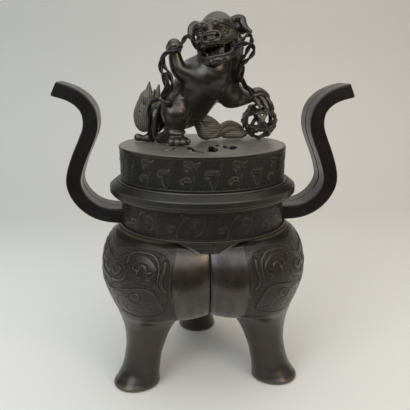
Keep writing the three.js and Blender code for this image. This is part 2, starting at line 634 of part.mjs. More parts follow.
const shapes = {
  body: (grow = 0) => join(
    part(LION.spine, { grow, sides: 12 }),
    part(LION.neck, { grow, sides: 10, steps: 1 }),
    part(LION.thigh, { grow, sides: 10, steps: 1 }),
    part(LION.nearFoot, { grow, steps: 1 }),
    LION.nearToes.map((toe) => knuckle(toe, grow)),
  ),
  head: (grow = 0) => join(
    part(LION.skull, { grow, sides: 12, steps: 1 }),
    knuckle(LION.crown[0], grow),
    part(LION.muzzle, { grow, sides: 10 }),
    LION.cheeks.map((cheek) => part(cheek, { grow, steps: 1 })),
    LION.brows.map((brow) => part(brow, { grow, sides: 5, steps: 1 })),
    part(LION.nose, { grow, sides: 6, steps: 1 }),
  ),
  jaw: (grow = 0) => join(
    part(LION.jaw, { grow, sides: 10, steps: 1 }),
    part(LION.beard, { grow, sides: 6, steps: 1 }),
  ),
  earLeft: (grow = 0) => part(LION.earLeft, { grow, squash: 0.7 }),
  earRight: (grow = 0) => part(LION.earRight, { grow, squash: 0.7 }),
  mane: (grow = 0) => part(LION.mane, { grow, sides: 10, steps: 1 }),
  tress: (grow = 0) => part(LION.tress, { grow, steps: 1 }),
  raisedLeg: (grow = 0) => join(
    part(LION.raisedArm, { grow, sides: 10, steps: 1 }),
    part(LION.raisedPaw, { grow, steps: 1 }),
  ),
  plantedLeg: (grow = 0) => join(
    part(LION.plantedArm, { grow, sides: 10, steps: 1 }),
    part(LION.plantedPaw, { grow, steps: 1 }),
    LION.claws.map((claw) => part(claw, { grow, sides: 5, steps: 1 })),
  ),
  farLeg: (grow = 0) => join(part(LION.farLeg, { grow, steps: 1 }), part(LION.farFoot, { grow, steps: 1 })),
  lock: (grow = 0) => part(LION.lock, { grow, sides: 7, steps: 1 }),
  tail: (grow = 0) => join(
    part(LION.tail, { grow, steps: 1 }),
    part(LION.tailLeaf, { grow, steps: 1, squash: 0.55 }),
    part(LION.tailTip, { grow, steps: 1, squash: 0.6 }),
  ),
  plume: (grow = 0) => part(LION.plume, { grow, steps: 1, squash: 0.8 }),
};

function ballShape(grow = 0) {
  const { at: [x, y], radius, strap, thickness } = BALL;
  const z = radius + GAP;
  const outer = radius + grow;
  const inner = radius - thickness - grow;
  const half = strap / 2 + grow;
  const section = [[inner, -half], [outer, -half], [outer, half], [inner, half], [inner, -half]];
  const outline = section.map(([r, h]) => new THREE.Vector2(r, h));
  const hoop = solid(new THREE.LatheGeometry(outline, HOOP_SEGMENTS));
  const golden = (1 + Math.sqrt(5)) / 2;
  const poles = [1, -1].flatMap((side) => [[0, side, golden], [side, golden, 0], [side * golden, 0, 1]]);
  const hoops = poles.map((pole) => {
    const way = new THREE.Vector3(...pole).normalize();
    const turn = new THREE.Quaternion().setFromUnitVectors(new THREE.Vector3(0, 1, 0), way);
    const matrix = new THREE.Matrix4().makeRotationFromQuaternion(turn);
    return hoop.transform(matrix.elements);
  });
  return join(hoops).translate([x, y, z]);
}

function ribbonShape(lines, grow = 0) {
  const rows = (line) => line.map((at) => [...at, RIBBON_RADIUS]);
  return join(lines.map((line) => part(rows(line), { grow, sides: 4, steps: 1 })));
}

function buildLion() {
  const ground = below(GAP);
  const body = cut(shapes.body(), ground);
  const bodyRoom = shapes.body(GAP);
  const head = cut(shapes.head(), bodyRoom);
  const headRoom = shapes.head(GAP);
  const jaw = cut(shapes.jaw(), bodyRoom, headRoom);
  const jawRoom = shapes.jaw(GAP);
  const skin = [bodyRoom, headRoom, jawRoom];
  const earLeft = cut(shapes.earLeft(), headRoom);
  const earRight = cut(shapes.earRight(), headRoom);
  const earRoom = shapes.earRight(GAP);
  const ribbonRoom = [ribbonShape(RIBBONS.ribbon_left, GAP), ribbonShape(RIBBONS.ribbon_right, GAP)];
  const mane = cut(shapes.mane(), skin);
  const tress = cut(shapes.tress(), skin, shapes.mane(GAP), earRoom, shapes.plantedLeg(GAP), ribbonRoom);
  const raised = cut(shapes.raisedLeg(), skin, ribbonRoom);
  const ball = cut(ballShape(), ground);
  const ballRoom = solid(new THREE.SphereGeometry(BALL.radius + GAP, 28, 20)
    .translate(...BALL.at, BALL.radius + GAP));
  const planted = cut(shapes.plantedLeg(), skin, ballRoom, ribbonRoom);
  const farLeg = cut(shapes.farLeg(), bodyRoom, ground);
  const lock = cut(shapes.lock(), bodyRoom, shapes.farLeg(GAP), ground);
  const tail = cut(shapes.tail(), bodyRoom, shapes.farLeg(GAP), shapes.lock(GAP), ground);
  const plume = cut(shapes.plume(), bodyRoom, ground, ballRoom);
  const ribbonLeft = cut(ribbonShape(RIBBONS.ribbon_left), skin);
  const ribbonRight = cut(ribbonShape(RIBBONS.ribbon_right), skin, earRoom);
  const knobRoom = part(LION.knob, { grow: GAP });
  const knob = cut(part(LION.knob), bodyRoom, ribbonRoom);
  const beside = [bodyRoom, knobRoom, shapes.lock(GAP), shapes.farLeg(GAP), ground, ...ribbonRoom];
  const hanging = cut(ribbonShape([HANGING_CORD]), beside);
  const group = new THREE.Group();
  group.add(
    piece("lion_body", body, BRONZE.lion),
    piece("lion_head", head, BRONZE.lion),
    piece("lion_jaw", jaw, BRONZE.lion),
    piece("lion_ear_left", earLeft, BRONZE.lion),
    piece("lion_ear_right", earRight, BRONZE.lion),
    piece("lion_mane", mane, BRONZE.lion),
    piece("lion_mane_tress", tress, BRONZE.lion),
    piece("lion_foreleg_raised", raised, BRONZE.lion),
    piece("lion_foreleg_planted", planted, BRONZE.lion),
    piece("lion_hind_leg_far", farLeg, BRONZE.lion),
    piece("lion_hair_lock", lock, BRONZE.lion),
    piece("lion_tail_plume", tail, BRONZE.lion),
    piece("lion_flame_plume", plume, BRONZE.lion),
    piece("lion_elbow_tuft", knob, BRONZE.dark),
    piece("brocade_ball", ball, BRONZE.dark),
    piece("ribbon_left", ribbonLeft, BRONZE.dark),
    piece("ribbon_right", ribbonRight, BRONZE.dark),
    piece("ribbon_hanging", hanging, BRONZE.dark),
  );
  group.position.z = PLATE_TOP;
  group.rotation.z = THREE.MathUtils.degToRad(FINIAL_TURN);
  return group;
}

// Assembly

const censer = new THREE.Group();
const vessel = new THREE.Group();
const cover = new THREE.Group();
vessel.add(piece("bowl", buildBowl(), BRONZE.body));
const leg = buildLeg();
for (const [name, azimuth] of Object.entries(LEG_AZIMUTHS)) {
  vessel.add(piece(name, turned(leg, azimuth), BRONZE.body));
}
vessel.add(piece("neck_band", buildNeck(), BRONZE.body));
vessel.add(piece("mouth_rim", buildRim(), BRONZE.body));
for (const side of Object.keys(HANDLE_LEAN)) {
  vessel.add(piece(`handle_${side}`, buildHandle(side), BRONZE.dark));
  vessel.add(piece(`handle_${side}_rivet_front`, buildRivet(side, -1), BRONZE.dark));
  vessel.add(piece(`handle_${side}_rivet_back`, buildRivet(side, 1), BRONZE.dark));
}
cover.add(piece("cover_flange", buildFlange(), BRONZE.lid));
cover.add(piece("cover_drum", buildDrum(), BRONZE.lid));
cover.add(piece("cover_locating_ring", buildLocatingRing(), BRONZE.dark));
cover.add(buildLion());
censer.add(vessel, cover);

// The origin is the middle of the footprint, on the ground
const box = new THREE.Box3().setFromObject(censer);
censer.position.y = -(box.min.y + box.max.y) / 2;

export default censer;
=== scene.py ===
"""Tripod incense burner in patinated bronze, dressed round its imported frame.

Tables and sizes are in millimetres, +Z up. Meshes are written in metres. Every piece stands at
the origin with its place in its mesh.
"""

import json
import logging
import math
from dataclasses import dataclass, field, replace
from enum import Enum
from typing import Callable, Sequence

import bmesh
import bpy
import numpy as np
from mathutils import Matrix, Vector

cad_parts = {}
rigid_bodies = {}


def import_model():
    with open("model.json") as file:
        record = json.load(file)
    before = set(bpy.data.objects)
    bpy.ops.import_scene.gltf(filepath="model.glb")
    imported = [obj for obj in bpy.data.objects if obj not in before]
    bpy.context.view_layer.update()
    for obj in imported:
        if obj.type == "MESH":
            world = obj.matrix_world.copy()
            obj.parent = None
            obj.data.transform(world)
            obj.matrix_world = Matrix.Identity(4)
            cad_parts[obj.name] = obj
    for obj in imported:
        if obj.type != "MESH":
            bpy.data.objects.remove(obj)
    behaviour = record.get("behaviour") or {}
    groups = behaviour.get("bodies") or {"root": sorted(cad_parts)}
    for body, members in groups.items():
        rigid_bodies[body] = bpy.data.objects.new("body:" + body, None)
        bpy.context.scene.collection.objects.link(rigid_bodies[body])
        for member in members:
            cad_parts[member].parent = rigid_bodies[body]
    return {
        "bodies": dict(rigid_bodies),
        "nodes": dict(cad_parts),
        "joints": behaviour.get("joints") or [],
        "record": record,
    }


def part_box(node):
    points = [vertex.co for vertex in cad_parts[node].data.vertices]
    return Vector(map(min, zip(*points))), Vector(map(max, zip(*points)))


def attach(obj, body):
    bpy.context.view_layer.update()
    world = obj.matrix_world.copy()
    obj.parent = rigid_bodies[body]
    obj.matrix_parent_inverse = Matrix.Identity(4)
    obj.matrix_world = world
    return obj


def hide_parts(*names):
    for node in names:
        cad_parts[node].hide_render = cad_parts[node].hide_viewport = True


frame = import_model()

import openvdb
from mathutils import Vector

log = logging.getLogger("censer")
Array = np.ndarray
Row = Sequence[float]
Rows = Sequence[Row]
Piece = bpy.types.Object
Metal = bpy.types.Material
Tree = bpy.types.NodeTree
Socket = bpy.types.NodeSocket
MM = 0.001
AXIS_Y = -6.25  # the vessel's axis stands this far in front of the footprint's middle


class Body(Enum):
    """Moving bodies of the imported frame."""

    VESSEL = "vessel"
    COVER = "cover"


class Slot(Enum):
    """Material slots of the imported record."""

    BODY = "body_bronze"
    DARK = "dark_bronze"
    LID = "lid_bronze"
    LION = "lion_bronze"


class Axis(Enum):
    """Axes that engraved hair may lie across."""

    X = "X"
    Z = "Z"


# Small tools


def srgb(code: str) -> tuple[float, float, float, float]:
    """Turns an sRGB hex colour such as "3d3733" into linear red, green, blue and alpha."""
    parts = [int(code[i : i + 2], 16) / 255 for i in (0, 2, 4)]
    linear = [c / 12.92 if c <= 0.04045 else ((c + 0.055) / 1.055) ** 2.4 for c in parts]
    return (*linear, 1.0)


def add(tree: Tree, kind: str, inputs: dict | None = None, **settings: object) -> bpy.types.Node:
    """Adds a node.

    Args:
        tree: The node tree that takes it.
        kind: Blender's name of the node type.
        inputs: Input name or index to a value, or to the socket that feeds it.
        **settings: Attributes of the node, set before its inputs.

    Returns:
        The new node.
    """
    node = tree.nodes.new(kind)
    for key, value in settings.items():
        setattr(node, key, value)
    for key, value in (inputs or {}).items():
        if isinstance(value, Socket):
            tree.links.new(value, node.inputs[key])
        else:
            node.inputs[key].default_value = value
    return node


def linked(name: str, data: bpy.types.ID) -> Piece:
    """Makes an object of some data and puts it in the scene.

    Args:
        name: Name of the object.
        data: Its mesh, curve, lamp or camera.

    Returns:
        The new object.
    """
    made = bpy.data.objects.new(name, data)
    bpy.context.scene.collection.objects.link(made)
    return made


def read(items: Sequence, name: str, width: int = 1, kind: type = np.float32) -> Array:
    """Reads one property of every item of a mesh.

    Args:
        items: Points, edges, faces or attribute values.
        name: The property.
        width: Numbers to an item.
        kind: Type of number.

    Returns:
        A row of numbers for each item.
    """
    flat = np.zeros(len(items) * width, kind)
    items.foreach_get(name, flat)
    return flat.reshape(-1, width)


def note(mesh: bpy.types.Mesh, name: str, values: Array) -> None:
    """Writes a named value on every point of a mesh."""
    layer = mesh.attributes.get(name) or mesh.attributes.new(name, "FLOAT", "POINT")
    layer.data.foreach_set("value", values.astype(np.float32).ravel())


def ease(value: Array, low: float, high: float) -> Array:
    """Smooth step from 0 at low to 1 at high; low may be the larger."""
    t = np.clip((value - low) / (high - low), 0, 1)
    return t * t * (3 - 2 * t)


def monotone(xs: Sequence[float], ys: Sequence[float], at: Array) -> Array:
    """Cubic through the points that never overshoots them.

    Args:
        xs: Rising places.
        ys: Value at each place.
        at: Places to read.

    Returns:
        The value at each of them.
    """
    xs, ys, at = np.asarray(xs, float), np.asarray(ys, float), np.asarray(at, float)
    step = np.diff(xs)
    slope = np.diff(ys) / step
    before, after = 2 * step[1:] + step[:-1], step[1:] + 2 * step[:-1]
    tangent = np.zeros_like(ys)
    same = slope[:-1] * slope[1:] > 0
    tangent[1:-1][same] = (before + after)[same] / (
        before[same] / slope[:-1][same] + after[same] / slope[1:][same]
    )
    tangent[0], tangent[-1] = slope[0], slope[-1]
    k = np.clip(np.searchsorted(xs, at) - 1, 0, len(step) - 1)
    t = (at - xs[k]) / step[k]
    near = (1 + 2 * t) * (1 - t) ** 2 * ys[k] + t * (1 - t) ** 2 * step[k] * tangent[k]
    return near + t * t * (3 - 2 * t) * ys[k + 1] + t * t * (t - 1) * step[k] * tangent[k + 1]


def curve_through(rows: Rows, steps: int = 6) -> Array:
    """Draws a smooth curve through some rows.

    Args:
        rows: Rows of any width.
        steps: Straight pieces to each span.

    Returns:
        Rows along the curve.
    """
    rows = np.asarray(rows, float)
    padded = np.vstack([rows[:1], rows, rows[-1:]])
    out = []
    for k in range(len(rows) - 1):
        p0, p1, p2, p3 = padded[k : k + 4]
        t = (np.arange(steps) / steps)[:, None]
        v0, v1 = (p2 - p0) / 2, (p3 - p1) / 2
        cubic = (2 * p1 - 2 * p2 + v0 + v1) * t**3 + (3 * p2 - 3 * p1 - 2 * v0 - v1) * t**2
        out.append(cubic + v0 * t + p1)
    return np.vstack([*out, rows[-1:]])


def rounded(corners: Rows, steps: int = 4, beside: Row = (0.7, 1.6)) -> Array:
    """Rounds the corners of a closed outline.

    Args:
        corners: Rows of two coordinates and the length that the rounding takes of each side.
        steps: Straight pieces to each rounding.
        beside: Distances from a rounding of further points, which keep its wear narrow.

    Returns:
        Points of the rounded outline.
    """
    rows = np.asarray(corners, float)
    arcs = []
    for k, (u, v, take) in enumerate(rows):
        at = np.array([u, v])
        before, after = rows[k - 1, :2] - at, rows[(k + 1) % len(rows), :2] - at
        start = at + before * min(0.49, take / np.linalg.norm(before))
        end = at + after * min(0.49, take / np.linalg.norm(after))
        t = np.linspace(0, 1, steps + 1)[:, None] if take else np.array([[0.5]])
        arcs.append((1 - t) ** 2 * start + 2 * t * (1 - t) * at + t * t * end if take else at[None, :])
    out = []
    for k, arc in enumerate(arcs):
        follower = (k + 1) % len(arcs)
        side = arcs[follower][0] - arc[-1]
        length = np.linalg.norm(side)
        crisp = min(rows[k, 2], rows[follower, 2]) >= 0.3
        near = [reach / length for reach in beside if crisp and length > 2.4 * reach]
        out += [arc, *(arc[-1:] + side * share for share in near + [1 - share for share in near[::-1]])]
    return np.concatenate(out)


def turned(points: Array, degrees: float) -> Array:
    """Turns points about +Z.

    Args:
        points: Array whose last axis is x, y, z.
        degrees: How far, counter-clockwise from above.

    Returns:
        The turned points.
    """
    c, s = math.cos(math.radians(degrees)), math.sin(math.radians(degrees))
    x, y = points[..., 0], points[..., 1]
    return np.stack([c * x - s * y, s * x + c * y, points[..., 2]], axis=-1)


def stood(points: Array, degrees: float) -> Array:
    """Turns points about +Z and moves them to the vessel's axis."""
    return turned(points, degrees) + [0, AXIS_Y, 0]


def lobe_view(points: Array, turn: float) -> tuple[Array, Array, Array]:
    """Undoes stood() for points of a finished piece.

    Args:
        points: Rows of x, y, z in metres.
        turn: Azimuth at which the piece stands.

    Returns:
        The points as if it faced +X, in millimetres, their azimuths in degrees and their radii.
    """
    own = turned(points / MM - [0, AXIS_Y, 0], -turn)
    return own, np.degrees(np.arctan2(own[:, 1], own[:, 0])), np.hypot(own[:, 0], own[:, 1])


# Meshes


class Shell:
    """A mesh in the making: points in millimetres, quads and triangles."""

    def __init__(self) -> None:
        """Starts empty."""
        self.points: list[Array] = []
        self.flows: list[Array] = []
        self.fours: list[Array] = []
        self.threes: list[Array] = []
        self.count = 0

    def put(self, points: Array, flow: Array | None = None) -> Array:
        """Adds points.

        Args:
            points: Array whose last axis is x, y, z.
            flow: Matching surface coordinates in millimetres, for patterns that follow it.

        Returns:
            Their indices, in the shape of the leading axes.
        """
        shape = points.shape[:-1]
        number = int(np.prod(shape))
        self.points.append(points.reshape(-1, 3))
        flat = np.zeros((number, 2)) if flow is None else flow.reshape(-1, 2)
        self.flows.append(flat)
        self.count += number
        return np.arange(self.count - number, self.count).reshape(shape)

    def skin(self, grid: Array, wrap: bool = False) -> None:
        """Skins a grid of indices with quads.

        Args:
            grid: Indices by row and column.
            wrap: True closes it round its second axis.
        """
        if wrap:
            grid = np.concatenate([grid, grid[:, :1]], axis=1)
        a, b, c, d = grid[:-1, :-1], grid[:-1, 1:], grid[1:, 1:], grid[1:, :-1]
        self.fours.append(np.stack([a, b, c, d], axis=-1).reshape(-1, 4))

    def fan(self, ring: Array, apex: int, wrap: bool = False) -> None:
        """Joins a line of indices to one point.

        Args:
            ring: The line.
            apex: Index of the point.
            wrap: True joins the line's ends too.
        """
        after = np.roll(ring, -1) if wrap else ring[1:]
        first = ring if wrap else ring[:-1]
        self.threes.append(np.stack([first, after, np.full_like(first, apex)], axis=-1))

    def cap(self, grid: Array, hubs: Sequence[Array]) -> None:
        """Closes the first and last ring of a wrapped grid, each with a fan round its hub."""
        for row, hub in zip((0, -1), hubs):
            self.fan(grid[row], int(self.put(hub)), wrap=True)

    def lace(self, left: Array, right: Array) -> None:
        """Joins two lines of indices with triangles.

        Args:
            left: One line.
            right: The other, of any length.
        """
        i = j = 0
        made = []
        while i + 1 < len(left) or j + 1 < len(right):
            if j + 1 == len(right) or (i + 1 < len(left) and (i + 1) * len(right) <= (j + 1) * len(left)):
                made.append((left[i], left[i + 1], right[j]))
                i += 1
            else:
                made.append((left[i], right[j + 1], right[j]))
                j += 1
        self.threes.append(np.array(made))

    def object(self, name: str) -> Piece:
        """Makes the object, with faces outwards and doubled points joined.

        Args:
            name: Name of the piece.

        Returns:
            The linked object.
        """
        points = np.concatenate(self.points) * MM
        fours = np.concatenate(self.fours) if self.fours else np.zeros((0, 4), int)
        threes = np.concatenate(self.threes) if self.threes else np.zeros((0, 3), int)
        made = mesh_object(name, points, fours, threes)
        layer = made.data.uv_layers.new(name="flow")
        corners = np.concatenate([fours.ravel(), threes.ravel()])
        layer.data.foreach_set("uv", np.concatenate(self.flows)[corners].astype(np.float32).ravel())
        work = bmesh.new()
        work.from_mesh(made.data)
        bmesh.ops.remove_doubles(work, verts=work.verts, dist=0.01 * MM)
        bmesh.ops.dissolve_degenerate(work, edges=work.edges, dist=0.001 * MM)
        bmesh.ops.recalc_face_normals(work, faces=work.faces)
        work.to_mesh(made.data)
        work.free()
        return made


def mesh_object(name: str, points: Array, fours: Array, threes: Array) -> Piece:
    """Makes a smooth-shaded mesh object.

    Args:
        name: Name of the object and its mesh.
        points: Rows of x, y, z in metres.
        fours: Indices of the quads' corners.
        threes: Indices of the triangles' corners.

    Returns:
        The linked object.
    """
    mesh = bpy.data.meshes.new(name)
    mesh.vertices.add(len(points))
    mesh.vertices.foreach_set("co", points.astype(np.float32).ravel())
    corners = np.concatenate([fours.ravel(), threes.ravel()]).astype(np.int32)
    mesh.loops.add(len(corners))
    mesh.loops.foreach_set("vertex_index", corners)
    starts = np.concatenate([np.arange(len(fours)) * 4, len(fours) * 4 + np.arange(len(threes)) * 3])
    mesh.polygons.add(len(starts))
    mesh.polygons.foreach_set("loop_start", starts.astype(np.int32))
    mesh.update(calc_edges=True)
    mesh.validate()
    mesh.polygons.foreach_set("use_smooth", np.ones(len(mesh.polygons), bool))
    return linked(name, mesh)


def weather(piece: Piece, reach: float = 0.9, passes: int = 3) -> None:
    """Marks raised edges for rub wear and painted highlight, and hollows for dark patina and painted shade.

    Args:
        piece: A mesh piece; its points get the values "worn" and "recess", from 0 to 1.
        reach: Height of an edge over its surroundings, in millimetres, that counts in full.
        passes: Rounds of averaging over neighbours, which set the width of the effect.
    """
    mesh = piece.data
    number = len(mesh.vertices)
    a, b = read(mesh.edges, "vertices", 2, np.int32).T
    start = read(mesh.vertices, "co", 3).astype(float)
    normal = read(mesh.vertices, "normal", 3)
    degree = np.maximum(np.bincount(np.concatenate([a, b]), minlength=number), 1)[:, None]

    def spread(values: Array) -> Array:
        """Averages each point's values with its neighbours'."""
        sums = [
            np.bincount(a, values[b, k], number) + np.bincount(b, values[a, k], number)
            for k in range(values.shape[1])
        ]
        total = np.stack(sums, axis=1)
        return (total / degree + values) / 2

    level = start
    for _ in range(passes * 3):
        level = spread(level)
    rise = ((start - level) * normal).sum(axis=1) / (reach * MM)
    # raised points take rub wear and painted highlight; sunk points take dark patina and painted shade
    note(mesh, "worn", np.clip(rise, 0, 1))
    note(mesh, "recess", np.clip(-rise, 0, 1))


def dress(piece: Piece, metal: Metal, reach: float = 0.9, passes: int = 3) -> Piece:
    """Marks wear, patina, painted highlight and painted shade on a piece and gives it its finish.

    Args:
        piece: A mesh piece.
        metal: The finish.
        reach: As in weather().
        passes: As in weather().

    Returns:
        The same piece.
    """
    weather(piece, reach, passes)
    piece.data.materials.append(metal)
    return piece


def lathe(name: str, outline: Array, sides: int = 256) -> Piece:
    """Turns a closed outline round the vessel's axis.

    Args:
        name: Name of the piece.
        outline: Rows of radius and height.
        sides: Steps to a turn.

    Returns:
        The piece, without a finish.
    """
    angle = np.linspace(0, 2 * math.pi, sides, endpoint=False)[:, None]
    radius, height = outline[:, 0][None, :], outline[:, 1][None, :]
    x, y = radius * np.cos(angle), radius * np.sin(angle) + AXIS_Y
    shell = Shell()
    flow = np.stack([radius * angle, height + 0 * angle], axis=-1)
    grid = shell.put(np.stack([x, y, height + 0 * angle], axis=-1), flow)
    shell.skin(np.concatenate([grid, grid[:1]]), wrap=True)
    return shell.object(name)


def settled(piece: Piece, name: str) -> Piece:
    """Replaces an object by a plain mesh of its evaluated self.

    Args:
        piece: Object with a live modifier, or a curve; it is removed.
        name: Name of the mesh and the new object.

    Returns:
        The new object.
    """
    graph = bpy.context.evaluated_depsgraph_get()
    mesh = bpy.data.meshes.new_from_object(piece.evaluated_get(graph), depsgraph=graph)
    mesh.name = name
    bpy.data.objects.remove(piece)
    return linked(name, mesh)


def draw_line(curve: bpy.types.Curve, points: Array, closed: bool = False) -> None:
    """Adds a straight-sided spline to a curve.

    Args:
        curve: The curve.
        points: Rows of x, y, z in metres.
        closed: True joins the last point to the first.
    """
    spline = curve.splines.new("POLY")
    spline.points.add(len(points) - 1)
    rows = np.column_stack([points, np.ones(len(points))])
    spline.points.foreach_set("co", rows.astype(np.float32).ravel())
    spline.use_cyclic_u = closed


def smooth(piece: Piece) -> None:
    """Joins doubled points, turns faces outwards and shades them smoothly.

    Args:
        piece: A mesh piece.
    """
    work = bmesh.new()
    work.from_mesh(piece.data)
    bmesh.ops.remove_doubles(work, verts=work.verts, dist=0.005 * MM)
    bmesh.ops.recalc_face_normals(work, faces=work.faces)
    work.to_mesh(piece.data)
    work.free()
    piece.data.polygons.foreach_set("use_smooth", np.ones(len(piece.data.polygons), bool))


# Geometry Nodes


class Growth:
    """A Geometry Nodes tree with named inputs, run once on a piece and then settled."""

    def __init__(self, name: str, sizes: dict[str, float | int | Sequence[float]]) -> None:
        """Opens the tree.

        Args:
            name: Name of the tree.
            sizes: Name and value of each input besides the geometry and the material.
        """
        self.tree = bpy.data.node_groups.new(name, "GeometryNodeTree")
        self.sizes = sizes
        face = self.tree.interface
        face.new_socket("Geometry", in_out="INPUT", socket_type="NodeSocketGeometry")
        for title, value in sizes.items():
            kind = {int: "Int", float: "Float"}.get(type(value), "Vector")
            face.new_socket(title, in_out="INPUT", socket_type="NodeSocket" + kind)
        face.new_socket("Material", in_out="INPUT", socket_type="NodeSocketMaterial")
        face.new_socket("Geometry", in_out="OUTPUT", socket_type="NodeSocketGeometry")
        self.given = add(self.tree, "NodeGroupInput").outputs

    def add(self, kind: str, inputs: dict | None = None, **settings: object) -> bpy.types.Node:
        """Adds a node to the tree, as add() does."""
        return add(self.tree, "GeometryNode" + kind, inputs, **settings)

    def finish(self, made: Socket) -> None:
        """Ends the tree with real geometry in one material.

        Args:
            made: The instances or mesh that the tree has made.
        """
        real = self.add("RealizeInstances", {0: made}).outputs[0]
        joined = self.add("MergeByDistance", {0: real, "Distance": 0.005 * MM}).outputs[0]
        even = self.add("SetShadeSmooth", {0: joined}).outputs[0]
        dressed = self.add("SetMaterial", {0: even, "Material": self.given["Material"]}).outputs[0]
        add(self.tree, "NodeGroupOutput", {0: dressed})

    def run(self, piece: Piece, name: str, metal: Metal) -> Piece:
        """Runs the tree on a piece.

        Args:
            piece: Object whose geometry feeds the tree; it is used up.
            name: Name of the new piece.
            metal: Finish of the new piece.

        Returns:
            The new piece, a plain mesh.
        """
        modifier = piece.modifiers.new("growth", "NODES")
        modifier.node_group = self.tree
        for item in self.tree.interface.items_tree:
            if item.in_out == "INPUT" and item.name in self.sizes:
                modifier[item.identifier] = self.sizes[item.name]
            elif item.in_out == "INPUT" and item.name == "Material":
                modifier[item.identifier] = metal
        made = settled(piece, name)
        smooth(made)
        return made


# Finishes


